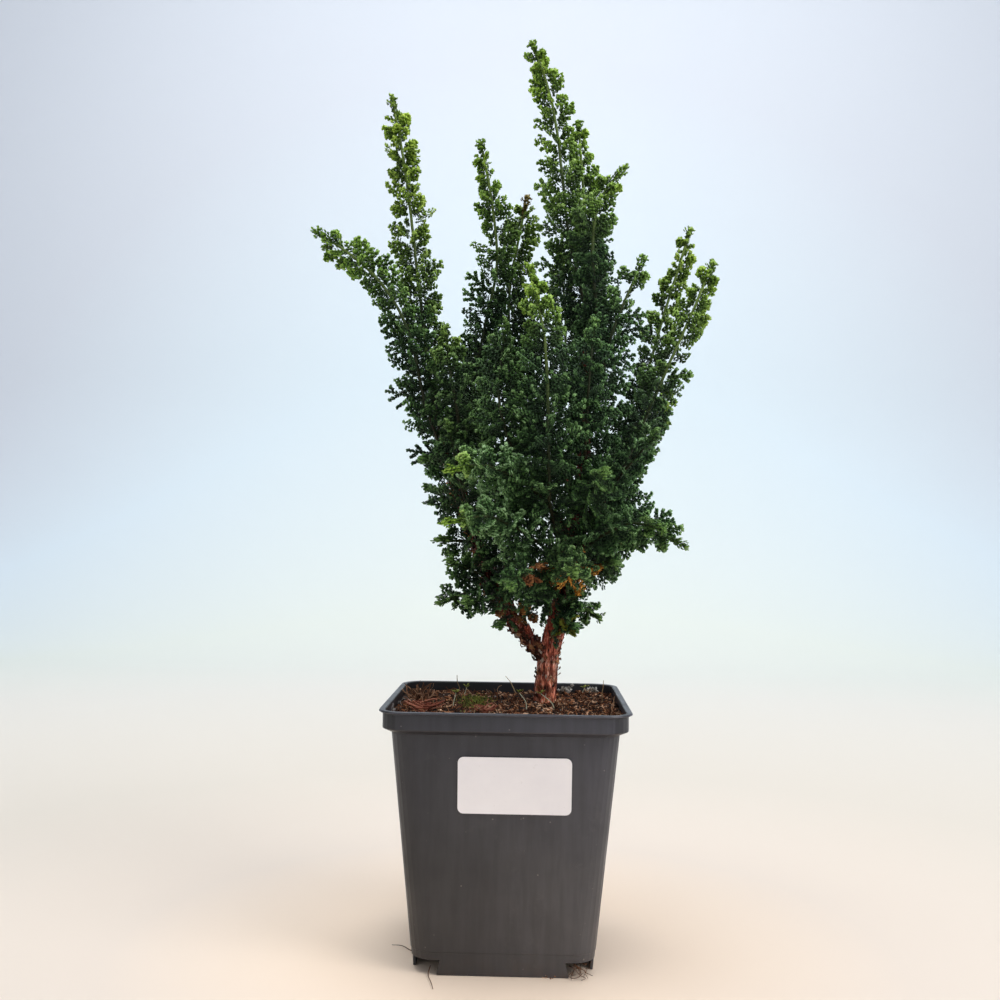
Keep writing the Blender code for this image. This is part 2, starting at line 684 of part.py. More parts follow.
def pyramid(foot, root, tip, margin):
    """Skin over the foot and the tip of a spray, its foot widened by a margin."""
    wide = [p + (p - root).normalized() * margin for p in foot]
    count = len(foot)
    sides = [(k, (k + 1) % count, count) for k in range(count)]
    return wide + [tip], sides


def plume_skin(rings, apex):
    """Skin over whorls whose tips and hollows take turns, folded along the hollows."""
    count = STEM_SIDES
    vertices = [point for ring in rings for point in ring] + [apex]
    faces = [tuple(reversed(range(count)))]
    for i in range(len(rings) - 1):
        for k in range(count):
            a = i * count + k
            b = i * count + (k + 1) % count
            c = b + count
            d = a + count
            if (i + k) % 2 == 0:
                faces += [(a, b, d), (b, c, d)]
            else:
                faces += [(a, b, c), (a, c, d)]
    last = (len(rings) - 1) * count
    faces += [(last + k, last + (k + 1) % count, last + count) for k in range(count)]
    return vertices, faces


def main():
    clear_scene()
    limbs = {name: [p * MM for p in smooth_route(points, LIMB_STEP)] for name, points in LIMBS.items()}
    green = {"leafy_stem_" + name: Stem(limbs, *row) for name, row in GREEN.items()}
    withered = {"withered_spray_" + name: Stem(limbs, *row) for name, row in WITHERED.items()}
    stems = {**green, **withered}

    make_pot(material("pot plastic", (0.055, 0.057, 0.062), 0.5))
    make_label(material("label paper", (0.82, 0.79, 0.78), 0.6))
    make_soil(material("soil", (0.09, 0.045, 0.025), 0.95), limbs["trunk"][0])
    for name, stem in stems.items():
        others = [other.curve for key, other in stems.items() if key != name]
        stem.split(others, limbs.values())
    branches = {name: stem.branch for name, stem in stems.items()}
    woody_skins = make_trunk(material("bark", (0.20, 0.07, 0.04), 0.85), limbs, branches)

    space = Space()
    for skin in woody_skins:
        space.add("trunk", skin)
    rng = Random(29)
    rings = {}
    for name, stem in stems.items():
        others = [other.route for key, other in stems.items() if key != name]
        others += [branch for key, branch in branches.items() if key != name]
        stem.place_whorls(others + list(limbs.values()))
        rings[name] = stem.heart_rings(rng)
        space.add(name, plume_skin(rings[name], stem.apex(LOWEST_APEX)))

    leaf = material("green foliage", (0.025, 0.085, 0.025), 0.6)
    dead_leaf = material("withered foliage", (0.30, 0.11, 0.03), 0.8)
    for name, stem in stems.items():
        raise_sprays(space, name, stem, rings[name], rng)
        apex = raise_apex(space, name, stem, rings[name])
        add_object(name, plume_skin(rings[name], apex), leaf if name in green else dead_leaf)


main()
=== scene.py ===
"""Looks of the hinoki cypress bonsai in its square nursery pot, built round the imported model.

Metres, +Z up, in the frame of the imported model. The front, with the label, faces -Y.
"""

from math import atan2, cos, hypot, pi, radians, sin, sqrt

import bpy
import numpy as np
from mathutils import Matrix, Vector, noise


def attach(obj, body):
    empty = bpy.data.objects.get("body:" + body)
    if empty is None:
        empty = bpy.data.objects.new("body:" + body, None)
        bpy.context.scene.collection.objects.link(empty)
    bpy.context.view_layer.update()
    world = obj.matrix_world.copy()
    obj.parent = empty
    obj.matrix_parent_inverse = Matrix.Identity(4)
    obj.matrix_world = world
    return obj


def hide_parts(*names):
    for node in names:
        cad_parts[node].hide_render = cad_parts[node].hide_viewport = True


MM = 0.001

# Camera, fitted to the pot's corners and the crown
CAMERA_PLACE = (0.0101, -0.5354, 0.1888)
CAMERA_YAW = radians(-1.6)
CAMERA_PITCH = radians(2.01)
CAMERA_ROLL = radians(0.78)
CAMERA_LENS = 40.7  # millimetres, on a sensor 36 mm wide

# Pot and soil
POT_HEIGHT = 115 * MM
COLLAR_INSIDE = 104.4 * MM  # inner width of the pot's collar
COLLAR_INSIDE_RADIUS = 8.9 * MM
COLLAR_OUTSIDE = 106.6 * MM
COLLAR_SHADE_FROM = 104.5 * MM  # height at which the collar's painted shade sets in
COLLAR_SHADE_TO = 106.5 * MM
SHADED_LEFT = -45 * MM  # from here to as far right the pot goes from painted shade to painted light
SOIL_LEVEL = 110.2 * MM
SOIL_DEPTH = 3.2 * MM  # of the slab of loose soil
SOIL_CELLS = 90  # along each side of its surface
LITTER_REACH = 50.5 * MM  # how far from the middle crumbs and fibres lie
TRUNK_CLEARANCE = 5.8 * MM  # from the middle of the trunk's foot, free of them

# Woody frame, in millimetres, as in the part
TRUNK_ROUTE = [(18, 20, 107), (18, 20, 112), (19, 20, 129), (21, 20, 140), (25, 18, 156),
               (28, 15, 177), (32, 12, 199), (35, 10, 223), (35, 10, 247), (35, 9, 271)]
TRUNK_RADII = (5.2, 2.3)
LIMB_ROUTE = [(20, 20, 129), (11, 19, 139), (2, 18, 149), (-7, 18, 162), (-15, 18, 182),
              (-23, 17, 203), (-30, 16, 223)]
LIMB_RADII = (3.4, 1.8)
BARK_STEP = 1.2 * MM  # between the rings of the bark
BARK_SIDES = 30
# Flakes: radii of the wood at both ends, how many, the longest, how far they stand out
TRUNK_FLAKES = ((5.4, 3.7), 600, 3.2, 0.45)
LIMB_FLAKES = ((3.5, 2.0), 1300, 4.4, 1.0)
FLAKED_SHARE = 0.6  # of the trunk's length, from its foot

# Foliage
LOBE_PITCH = 0.92 * MM  # between the pairs of scale-leaved lobes on a twig
LOBE_LENGTH = 1.65 * MM
LOBE_WIDTH = 0.56 * MM  # half of it
LOBE_RISE = 0.6  # height of a lobe's back, as a share of its half width
LOBE_TILT = 0.24  # of a pair, in turns to the back and to the face of its twig
LOBE_LEAN = (26, 36)  # from the twig, in degrees
SIDE_TWIGS = ((0.14, 0.44), (0.29, 0.45), (0.44, 0.39), (0.59, 0.31), (0.75, 0.21))  # where, how long
SIDE_TWIG_LEAN = (38, 48)  # in degrees
SHORTEST_WITH_SIDES = 4.5 * MM  # of the sprays that have side twigs
SHORTEST_SPRAY = 2 * MM  # shorter ones stay bare
FULL_SPRAY = (0.8, 1.06)  # reach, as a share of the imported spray's
SHORT_SPRAY = (0.45, 0.7)
INNER_TWIG = (0.35, 0.6)  # likewise, of a short twig beside it
BARE_FROM = 0.55  # share of a stem from which it shows between its sprays
SHORT_SPRAYS = 0.14  # share of the sprays beyond that that stay short
OPEN_FROM = 0.5  # share of a leader from which sprays towards -Y are sparse
SPARSE_IN_FRONT = 0.35  # share of them that are missing
LEADER_RUN = 60  # millimetres of lime end that make a stem fully a leader
LEADER_FROM = 0.3  # least vigour of a leader
CROWN_FOOT = 150 * MM
CROWN_HEIGHT = 270 * MM
TONE = 0.41  # of a spray, on the way through its colours from 0 to 1
PAINTED_LIGHT_AT_TOP = 0.05  # painted light, more at the top of the crown
TONE_OF_YOUTH = 0.22  # more where growth is new
TONE_SPREAD = 0.15

# How strongly the end of each leafy stem turns lime, and over how many millimetres
LIME_TIPS = {
    "front_leader": (0.9, 42), "main_right": (0.9, 44), "tall_left": (0.85, 140),
    "left_leader": (0.8, 80), "right_leader": (0.85, 74), "far_right": (0.85, 74),
    "main_twin": (0.75, 80), "main_leader": (0.85, 130), "far_left": (0.7, 70),
    "low_left_front": (1.0, 15), "lower_left_front": (1.0, 15), "low_right": (0.5, 16),
    "low_right_front": (0.4, 16), "rear_left_leader": (0.7, 60), "right_spur": (0.55, 36),
    "short_left": (0.5, 24), "rear_leader": (0.6, 60), "rear_centre": (0.55, 50),
    "rear_far_left": (0.6, 50), "rear_right_leader": (0.6, 50), "rear_column": (0.5, 40),
    "right_column": (0.5, 40),
}
LIME_ELSEWHERE = (0.25, 14)
LIGHTER = {"low_left_front": 0.3, "lower_left_front": 0.3, "low_right": 0.16, "low_right_front": 0.12}
REAR_SHADE = -0.07  # for the stems behind, apart from two leaders
LIT_REAR_STEMS = ("rear_leader", "rear_left_leader")
SLIMMER = {"right_leader": 0.95, "far_right": 0.95, "right_column": 0.8, "rust": 0.6}  # reach of sprays
WITHERED_TIPS = (0.6, 30)  # as for the lime tips
WITHERED_REACH = 0.88
WITHERED_TONE_SPREAD = 0.3

# Linear colours of old and of new growth, from the shaded inside to the tips
OLD_GREENS = ((0.004, 0.012, 0.006), (0.018, 0.052, 0.019), (0.062, 0.145, 0.04),
              (0.16, 0.325, 0.09), (0.33, 0.52, 0.23))
NEW_GREENS = ((0.006, 0.018, 0.004), (0.044, 0.094, 0.01), (0.165, 0.305, 0.024),
              (0.345, 0.57, 0.05), (0.545, 0.76, 0.12))
WITHERED = {
    "brown": ((0.11, 0.038, 0.014), (0.33, 0.12, 0.036), (0.56, 0.26, 0.09)),
    "orange": ((0.2, 0.08, 0.014), (0.74, 0.31, 0.04), (0.98, 0.58, 0.14)),
    "rust": ((0.12, 0.044, 0.018), (0.32, 0.13, 0.04), (0.56, 0.28, 0.09)),
    "yellow": ((0.07, 0.07, 0.012), (0.28, 0.29, 0.04), (0.48, 0.47, 0.09)),
    "olive": ((0.034, 0.024, 0.008), (0.17, 0.125, 0.028), (0.34, 0.27, 0.07)),
}
# How far the end of a stem has other colours than the rest, and which
OTHER_ENDS = {"rear_left_leader": (9 * MM, WITHERED["olive"]), "orange": (8 * MM, WITHERED["orange"]),
              "yellow": (9 * MM, OLD_GREENS)}
GREEN_BUT_FOR_THE_END = ("orange",)
# Small twigs that hang from the branches in front of the trunk: foot and end
HANGING_TWIGS = (((26, 10, 168), (21.5, 3, 142)), ((31, 8, 168), (27.5, 0, 149)),
                 ((20, 11, 166), (15.5, 5, 150)))
# Where sprays of green stems have withered: a place, its reach, and the colours
WITHERED_PLACES = (((26.5, -41, 169), 6.5, "orange"), ((38, -32, 174), 3.5, "orange"),
                   ((12, -41, 174), 6.0, "brown"), ((-5, -3, 156), 6.0, "rust"))
# Of the stems between the sprays, from foot to tip
STEM_COLOURS = ((0.04, 0.026, 0.012), (0.032, 0.048, 0.014), (0.15, 0.225, 0.045),
                (0.3, 0.42, 0.085))

# What grows and lies on the soil, by place in millimetres from the pot's middle
MOSS_PATCH = (-16, 12, 9, 26)  # x, y and reach along each
MOSS_BLADES = 950
FIBRES = 1050
CRUMBS = ((2600, (0.6, 2.0), 0.8), (520, (2.2, 5.0), 0.38))  # how many, shortest and longest, how plump
PERLITE_GRAINS = (130, (0.5, 1.2), 1.0)
TWISTED_ROOTS = ((-38, -12, 8.5, 20), (-10, -20, 7.0, 9))  # x, y, reach and how many
TUFTS = ((-43, 15, 11.5, 60), (48, -27, 6.0, 30))  # x, y, height and how many
GREY_CLUMPS = ((28, 47, 4.2), (42, 47, 3.4))  # x, y and reach
FALLEN_CRUMBS = ((17, -43, 0.6), (29, -38, 0.7), 14)  # corners of their place on the floor, how many
STRAWS = (((-26, 45, 110), (-26.5, 46, 119)), ((4, 43, 110), (-2, 43, 119.5)),
          ((45.5, 22, 110), (46.5, 22, 120.5)))
SEEDLINGS = (((9, -12, 110), (8.5, -12, 114.5), (5.5, -12, 118.5)),
             ((22, -10, 110), (20.5, -10.5, 114), (15.5, -10, 118)),
             ((-25.5, -6, 110), (-25, -6, 113), (-24, -6, 117)),
             ((-22.5, 30, 110), (-22, 30, 112), (-21, 30, 115)),
             ((37, 40, 110), (37, 40, 112), (38, 40, 114.5)))
LOOSE_ROOTS = (((-41, -13, 0.4), (-43, -12, 0.5), (-47, -8.5, 1.1), (-52, -6, 0.5)),
               ((-31.5, -36, 2.5), (-32, -41, 0.6), (-30, -49, 0.4), (-28.6, -56, 0.4)),
               ((30, -37, 6.2), (32, -41, 5.6), (35, -42.5, 4.6), (36.5, -40.5, 2.6), (39, -41, 1.8)),
               ((29, -37, 4.2), (31, -41, 4.6), (33.5, -42, 2.2), (36, -41, 0.7), (34, -43, 0.5)),
               ((32, -37, 5.0), (34, -41, 2.2), (31, -42, 0.8), (28.5, -41, 1.4), (30, -40.5, 3.0)))

# Studio
FLOOR_REACH = 2.0  # metres; the colours follow each other at shares of it
# Colours along the floor's reach; the first and brightest is painted light against the pot's shadow
FLOOR_COLOURS_AND_LIGHT = ((0.04, (0.95, 0.77, 0.61)), (0.09, (0.78, 0.68, 0.59)), (0.2, (0.72, 0.66, 0.58)),
                 (0.45, (0.76, 0.73, 0.67)), (0.68, (0.78, 0.81, 0.75)), (0.85, (0.73, 0.82, 0.88)),
                 (0.97, (0.69, 0.72, 0.78)))
SKY_COLOUR = (0.86, 0.91, 1.0, 1)
SKY_STRENGTH = (0.26, 0.74)  # from the left to the right
# Name, place, target, size, power in watts and colour
LIGHTS = (("key", (1.2, -0.8, 1.4), (0, 0, 0.2), (0.9, 0.9), 12, (1.0, 0.97, 0.94)),
          ("fill", (-1.3, -1.0, 0.9), (0, 0, 0.2), (1.0, 1.0), 1.6, (0.98, 0.98, 1.0)),
          ("top", (-0.1, -0.1, 1.7), (0, 0, 0.25), (1.0, 1.0), 15, (1.0, 1.0, 0.98)),
          ("backdrop", (0, 0.7, 1.5), (0, 1.6, 0.4), (1.6, 0.8), 7.6, (0.9, 0.96, 1.0)))

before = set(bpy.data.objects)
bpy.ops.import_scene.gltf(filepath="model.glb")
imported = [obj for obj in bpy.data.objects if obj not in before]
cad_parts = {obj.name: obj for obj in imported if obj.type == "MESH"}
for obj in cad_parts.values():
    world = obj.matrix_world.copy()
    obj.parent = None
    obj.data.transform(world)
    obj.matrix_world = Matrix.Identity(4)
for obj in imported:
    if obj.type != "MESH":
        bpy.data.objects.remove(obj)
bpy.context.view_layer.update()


# Camera

def add_object(name, data):
    """Puts a mesh, a light or a camera into the scene."""
    made = bpy.data.objects.new(name, data)
    bpy.context.scene.collection.objects.link(made)
    return made


def make_camera():
    """The camera at its place, turned by yaw, pitch and roll."""
    forward = Vector((sin(CAMERA_YAW) * cos(CAMERA_PITCH), cos(CAMERA_YAW) * cos(CAMERA_PITCH),
                      sin(CAMERA_PITCH)))
    level = Vector((cos(CAMERA_YAW), -sin(CAMERA_YAW), 0))
    upright = level.cross(forward)
    right = cos(CAMERA_ROLL) * level + sin(CAMERA_ROLL) * upright
    up = cos(CAMERA_ROLL) * upright - sin(CAMERA_ROLL) * level
    data = bpy.data.cameras.new("camera")
    data.lens = CAMERA_LENS
    data.sensor_width = 36
    camera = add_object("camera", data)
    place = Matrix((right, up, -forward)).transposed().to_4x4()
    place.translation = CAMERA_PLACE
    camera.matrix_world = place
    bpy.context.scene.camera = camera


# Meshes

class Skin:
    """Triangles of one piece, gathered bit by bit, with a colour at each vertex."""

    def __init__(self):
        self.vertices, self.triangles, self.paint = [], [], []
        self.count = 0

    def add(self, vertices, triangles, paint):
        vertices = vertices.reshape(-1, 3)
        self.vertices.append(vertices)
        self.triangles.append(np.reshape(triangles, (-1, 3)) + self.count)
        self.paint.append(np.broadcast_to(paint, vertices.shape))
        self.count += len(vertices)

    def piece(self, name, finish, smooth=True):
        vertices, triangles, paint = map(np.concatenate, (self.vertices, self.triangles, self.paint))
        mesh = bpy.data.meshes.new(name)
        mesh.vertices.add(len(vertices))
        mesh.vertices.foreach_set("co", vertices.ravel())
        mesh.loops.add(3 * len(triangles))
        mesh.loops.foreach_set("vertex_index", triangles.ravel())
        mesh.polygons.add(len(triangles))
        mesh.polygons.foreach_set("loop_start", np.arange(0, 3 * len(triangles), 3))
        mesh.update(calc_edges=True)
        colour = mesh.attributes.new("paint", "FLOAT_COLOR", "POINT")
        colour.data.foreach_set("color", np.column_stack([paint, np.ones(len(paint))]).ravel())
        mesh.polygons.foreach_set("use_smooth", np.full(len(triangles), smooth))
        mesh.materials.append(finish)
        return add_object(name, mesh)


def finish_piece(skin, name, finish, smooth=True):
    """Makes a skin a piece of the model, with its finish, attached to its root."""
    piece = skin.piece(name, finish, smooth)
    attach(piece, "root")


def unit(v):
    """Vectors brought to length 1."""
    v = np.asarray(v, float)
    return v / np.maximum(np.linalg.norm(v, axis=-1, keepdims=True), 1e-12)


def across(directions):
    """Two unit vectors across each direction, right-handed with it."""
    directions = np.atleast_2d(directions)
    reference = np.where(np.abs(directions[:, 2:3]) < 0.8, [[0.0, 0.0, 1.0]], [[1.0, 0.0, 0.0]])
    first = unit(np.cross(reference, directions))
    return first, np.cross(directions, first)


def spindles(starts, directions, lengths, widths):
    """Closed four-sided spindles, one for each start: vertices (n, 6, 3) and triangles."""
    first, second = (way * widths[:, None] for way in across(directions))
    middle = starts + directions * (lengths * 0.5)[:, None]
    tips = starts + directions * lengths[:, None]
    ring = [middle + first, middle + second, middle - first, middle - second]
    vertices = np.stack([starts, *ring, tips], axis=1)
    cell = []
    for k in range(4):
        j = (k + 1) % 4
        cell += [(0, 1 + j, 1 + k), (1 + k, 1 + j, 5)]
    return vertices, np.array(cell)[None] + (np.arange(len(starts)) * 6)[:, None, None]


def lobes(starts, directions, backs, lengths, widths):
    """Closed lobes of four triangles, widest in the middle, where their back stands up."""
    side = unit(np.cross(directions, backs)) * widths[:, None]
    middle = starts + directions * (lengths * 0.62)[:, None] + unit(backs) * (widths * LOBE_RISE)[:, None]
    tips = starts + directions * lengths[:, None]
    vertices = np.stack([starts, middle - side, middle + side, tips], axis=1)
    cell = np.array([(0, 2, 1), (1, 2, 3), (0, 1, 3), (0, 3, 2)])
    return vertices, cell[None] + (np.arange(len(starts)) * 4)[:, None, None]


def tube(route, radii, sides):
    """Closed tube along a route, with a radius for each ring or for each of its points."""
    ways = unit(np.gradient(route, axis=0))
    whole = unit(route[-1] - route[0])
    reference = np.eye(3)[int(np.argmin(np.abs(whole)))]
    first = unit(np.cross(reference, ways))
    second = np.cross(ways, first)
    angles = 2 * pi * np.arange(sides) / sides
    rings = route[:, None] + radii.reshape(len(route), -1)[..., None] * (
        np.cos(angles)[None, :, None] * first[:, None] + np.sin(angles)[None, :, None] * second[:, None])
    vertices = np.concatenate([route[:1], rings.reshape(-1, 3), route[-1:]])
    last = len(vertices) - 1
    triangles = []
    for k in range(sides):
        j = (k + 1) % sides
        triangles.append((0, 1 + j, 1 + k))
        top = 1 + (len(route) - 1) * sides
        triangles.append((top + k, top + j, last))
        for i in range(len(route) - 1):
            a, b = 1 + i * sides + k, 1 + i * sides + j
            triangles += [(a, b, b + sides), (a, b + sides, a + sides)]
    return vertices, triangles


def smooth_route(points, step):
    """Places about one step apart on a Catmull-Rom curve through points in millimetres."""
    knots = [np.array(p) * MM for p in points]
    ends = [2 * knots[0] - knots[1]] + knots + [2 * knots[-1] - knots[-2]]
    route = [knots[0]]
    for i in range(len(knots) - 1):
        before, start, end, after = ends[i:i + 4]
        pieces = max(1, round(float(np.linalg.norm(end - start)) / step))
        for k in range(1, pieces + 1):
            t = k / pieces
            route.append(0.5 * (2 * start + (end - before) * t
                                + (2 * before - 5 * start + 4 * end - after) * t ** 2
                                + (3 * start - before - 3 * end + after) * t ** 3))
    return np.array(route)


def colour_at(colours, tone):
    """Colours between those of a row, for tones from 0 to 1."""
    spots = np.linspace(0, 1, len(colours))
    tone = np.clip(tone, 0, 1)
    return np.stack([np.interp(tone, spots, levels) for levels in zip(*colours)], axis=-1)


# Materials

class Tree:
    """Short names for making a material's nodes."""

    def __init__(self, name, shine=0.5):
        self.material = bpy.data.materials.new(name)
        self.material.use_nodes = True
        self.nodes = self.material.node_tree.nodes
        self.links = self.material.node_tree.links
        self.surface = self.nodes["Principled BSDF"]
        self.surface.inputs["Specular IOR Level"].default_value = shine
        self.place = self.nodes.new("ShaderNodeTexCoord").outputs["Object"]

    def put(self, target, value):
        """Sets an input to a value, or links it to an output."""
        if isinstance(value, bpy.types.NodeSocket):
            self.links.new(value, target)
        else:
            target.default_value = value

    def node(self, kind, output, inputs, operation=None):
        """Makes a node and returns one of its outputs."""
        made = self.nodes.new("ShaderNode" + kind)
        if operation:
            made.operation = operation
        for name, value in inputs.items():
            self.put(made.inputs[name], value)
        return made.outputs[output]

    def noise(self, scale, detail, stretch=None, roughness=0.6):
        place = self.place
        if stretch:
            place = self.node("Mapping", "Vector", {"Vector": place, "Scale": stretch})
        inputs = {"Vector": place, "Scale": scale, "Detail": detail, "Roughness": roughness}
        return self.node("TexNoise", "Fac", inputs)

    def part(self, axis):
        return self.node("SeparateXYZ", axis, {"Vector": self.place})

    def ramp(self, value, *stops):
        node = self.nodes.new("ShaderNodeValToRGB")
        self.links.new(value, node.inputs["Fac"])
        elements = node.color_ramp.elements
        while len(elements) < len(stops):
            elements.new(0.5)
        for element, (spot, colour) in zip(elements, stops):
            element.position = spot
            element.color = (*colour, 1) if isinstance(colour, tuple) else (colour, colour, colour, 1)
        return node.outputs["Color"]

    def span(self, value, low, high, to_low=0.0, to_high=1.0):
        inputs = {"Value": value, "From Min": low, "From Max": high, "To Min": to_low, "To Max": to_high}
        return self.node("MapRange", "Result", inputs)

    def mix(self, kind, share, a, b):
        node = self.nodes.new("ShaderNodeMix")
        node.data_type = "RGBA"
        node.blend_type = kind
        node.clamp_result = False
        for name, value in (("Factor", share), ("A", a), ("B", b)):
            self.put(node.inputs[name], (*value, 1) if isinstance(value, tuple) else value)
        return node.outputs["Result"]

    def sums(self, kind, a, b):
        return self.node("Math", 0, {0: a, 1: b}, kind)

    def times(self, a, b):
        return self.sums("MULTIPLY", a, b)

    def tinted(self, colour, tint, share=1.0):
        return self.mix("MULTIPLY", share, colour, tint)

    def blotches(self, scale, detail, low, high, most=1.0):
        """Noise that is 0 up to its low level and rises to its most at the high one."""
        return self.ramp(self.noise(scale, detail), (low, 0.0), (high, most))

    def colour(self, value):
        self.put(self.surface.inputs["Base Color"], value)

    def rough(self, value, to_low, to_high):
        self.put(self.surface.inputs["Roughness"], self.span(value, 0.3, 0.7, to_low, to_high))

    def bump(self, value, strength, distance):
        inputs = {"Height": value, "Strength": strength, "Distance": distance}
        self.put(self.surface.inputs["Normal"], self.node("Bump", "Normal", inputs))


def pot_plastic():
    """Dark moulded plastic, with vertical streaks, dusty patches and pale specks, painted shade on the inner
    wall, the collar and the left side, and painted light on the right side.
    """
    m = Tree("pot_plastic_look")
    height, x = m.part("Z"), m.part("X")
    streaks = m.noise(1.0, 3.0, (260, 260, 9))
    colour = m.ramp(m.noise(26, 4.0), (0.3, (0.071, 0.07, 0.078)), (0.7, (0.111, 0.108, 0.115)))
    colour = m.tinted(colour, m.ramp(streaks, (0.35, 0.62), (0.65, 1.25)), 0.4)
    dust = m.times(m.ramp(m.noise(60, 5.0, roughness=0.75), (0.58, 0.0), (0.75, 0.5)), 0.6)
    cells = m.node("TexVoronoi", "Distance", {"Vector": m.place, "Scale": 260})
    specks = m.times(m.ramp(cells, (0.05, 1.0), (0.11, 0.0)), m.blotches(120, 2.0, 0.54, 0.62))
    at_lip = m.span(height, POT_HEIGHT - 1.4 * MM, POT_HEIGHT, 0.0, 0.5)
    at_foot = m.span(height, 12 * MM, 0.0, 0.0, 0.5)
    marks = ((dust, (0.19, 0.18, 0.17)), (m.times(specks, 0.8), (0.42, 0.38, 0.33)),
             (m.times(at_lip, m.blotches(300, 3.0, 0.4, 0.7)), (0.17, 0.16, 0.17)),
             (m.times(at_foot, m.blotches(140, 4.0, 0.4, 0.7)), (0.13, 0.1, 0.08)))
    for share, mark in marks:
        colour = m.mix("MIX", share, colour, mark)
    # painted shade on the inner wall: faces nearer the middle than the middle of the collar's wall are half
    # as light
    half_wall = (COLLAR_OUTSIDE - COLLAR_INSIDE) / 4
    middle_of_wall = COLLAR_INSIDE / 2 + half_wall
    outwards = m.sums("MAXIMUM", m.sums("ABSOLUTE", x, 0.0), m.sums("ABSOLUTE", m.part("Y"), 0.0))
    inside = m.span(outwards, middle_of_wall - half_wall / 2, middle_of_wall, 0.5, 1.0)
    # painted shade on the collar, down to 0.58 of its colour from COLLAR_SHADE_TO up
    collar = m.span(height, COLLAR_SHADE_FROM, COLLAR_SHADE_TO, 1.0, 0.58)
    # painted shade on the left of the pot and painted light on its right, strongest low down
    low = m.span(x, SHADED_LEFT, -SHADED_LEFT, 0.48, 1.56)
    high = m.span(x, SHADED_LEFT, -SHADED_LEFT, 0.62, 1.12)
    painted_side_light_and_shade = m.mix("MIX", m.span(height, 55 * MM, 100 * MM), low, high)
    bluish = m.ramp(m.span(height, 20 * MM, 110 * MM), (0.3, (1.0, 0.985, 0.98)), (0.9, (1.0, 1.0, 1.13)))
    for tint in (inside, m.tinted(bluish, painted_side_light_and_shade), collar):
        colour = m.tinted(colour, tint)
    m.colour(colour)
    m.rough(m.noise(70, 4.0), 0.34, 0.52)
    m.bump(m.sums("ADD", m.times(m.noise(900, 2.0), 0.3), m.times(streaks, 0.4)), 0.15, 0.4 * MM)
    return m.material


def label_paper():
    """Smooth label stock, a little cockled and dusty."""
    m = Tree("label_paper_look")
    colour = m.ramp(m.noise(55, 4.0), (0.3, (0.93, 0.89, 0.9)), (0.7, (0.98, 0.94, 0.94)))
    m.colour(m.mix("MIX", m.blotches(500, 3.0, 0.66, 0.74, 0.25), colour, (0.7, 0.66, 0.64)))
    m.rough(m.noise(90, 3.0), 0.42, 0.58)
    m.bump(m.sums("ADD", m.noise(70, 2.0), m.times(m.noise(2600, 2.0), 0.08)), 0.35, 0.6 * MM)
    return m.material


def painted(name, fine, strength, roughness, shine, wobble):
    """Material that takes its colour from the mesh, varied and roughened by noise."""
    m = Tree(name, shine)
    paint = m.nodes.new("ShaderNodeAttribute")
    paint.attribute_name = "paint"
    varied = m.ramp(m.noise(fine, 3.0), (0.3, 1 - wobble), (0.7, 1 + wobble))
    m.colour(m.tinted(paint.outputs["Color"], varied))
    m.rough(m.noise(fine * 0.3, 2.0), roughness - 0.08, roughness + 0.1)
    m.bump(m.noise(fine * 1.5, 2.0), strength, 0.4 * MM)
    return m.material


def bark_look(name, shade):
    """Reddish brown bark with long fissures, grey flakes and dark hollows, with painted shade in the crown.
    """
    m = Tree(name, 0.25)
    height = m.part("Z")
    strips = m.noise(1.0, 4.0, (900, 900, 150), 0.7)
    colour = m.ramp(strips, (0.34, (0.024, 0.008, 0.005)), (0.45, (0.19, 0.052, 0.032)),
                    (0.56, (0.5, 0.18, 0.112)), (0.67, (1.0, 0.7, 0.56)))
    flakes = m.ramp(m.noise(1.0, 3.0, (520, 520, 210), 0.7), (0.6, 0.0), (0.68, 1.0))
    colour = m.mix("MIX", m.times(flakes, 0.85), colour, (0.8, 0.67, 0.58))
    colour = m.tinted(colour, m.ramp(m.noise(190, 4.0), (0.37, 0.32), (0.6, 1.5)), 0.9)
    by_height = m.ramp(m.span(height, 110 * MM, 145 * MM), (0.2, (1.2, 1.05, 0.95)),
                       (0.55, (0.9, 0.8, 0.76)), (0.95, (1.05, 0.62, 0.56)))
    # painted shade of the crown on the bark; shade scales the whole as painted light above 1 and as painted
    # shade below 1
    in_crown = m.span(height, 135 * MM, 165 * MM, shade, 0.2 * shade)
    m.colour(m.tinted(m.tinted(colour, by_height), in_crown))
    m.rough(strips, 0.95, 0.65)
    m.bump(m.sums("ADD", strips, m.times(flakes, 0.4)), 0.8, 0.8 * MM)
    return m.material


def floor_look():
    """Pale studio paper, warm near the pot and brightened there by painted light against the pot's shadow,
    cool far behind it.
    """
    m = Tree("floor_look")
    distance = m.node("VectorMath", "Value", {0: m.place}, "LENGTH")
    m.colour(m.ramp(m.span(distance, 0.0, FLOOR_REACH), *FLOOR_COLOURS_AND_LIGHT))
    m.rough(m.noise(8, 2.0), 0.85, 0.95)
    m.bump(m.noise(700, 2.0), 0.1, 0.3 * MM)
    return m.material


# Foliage

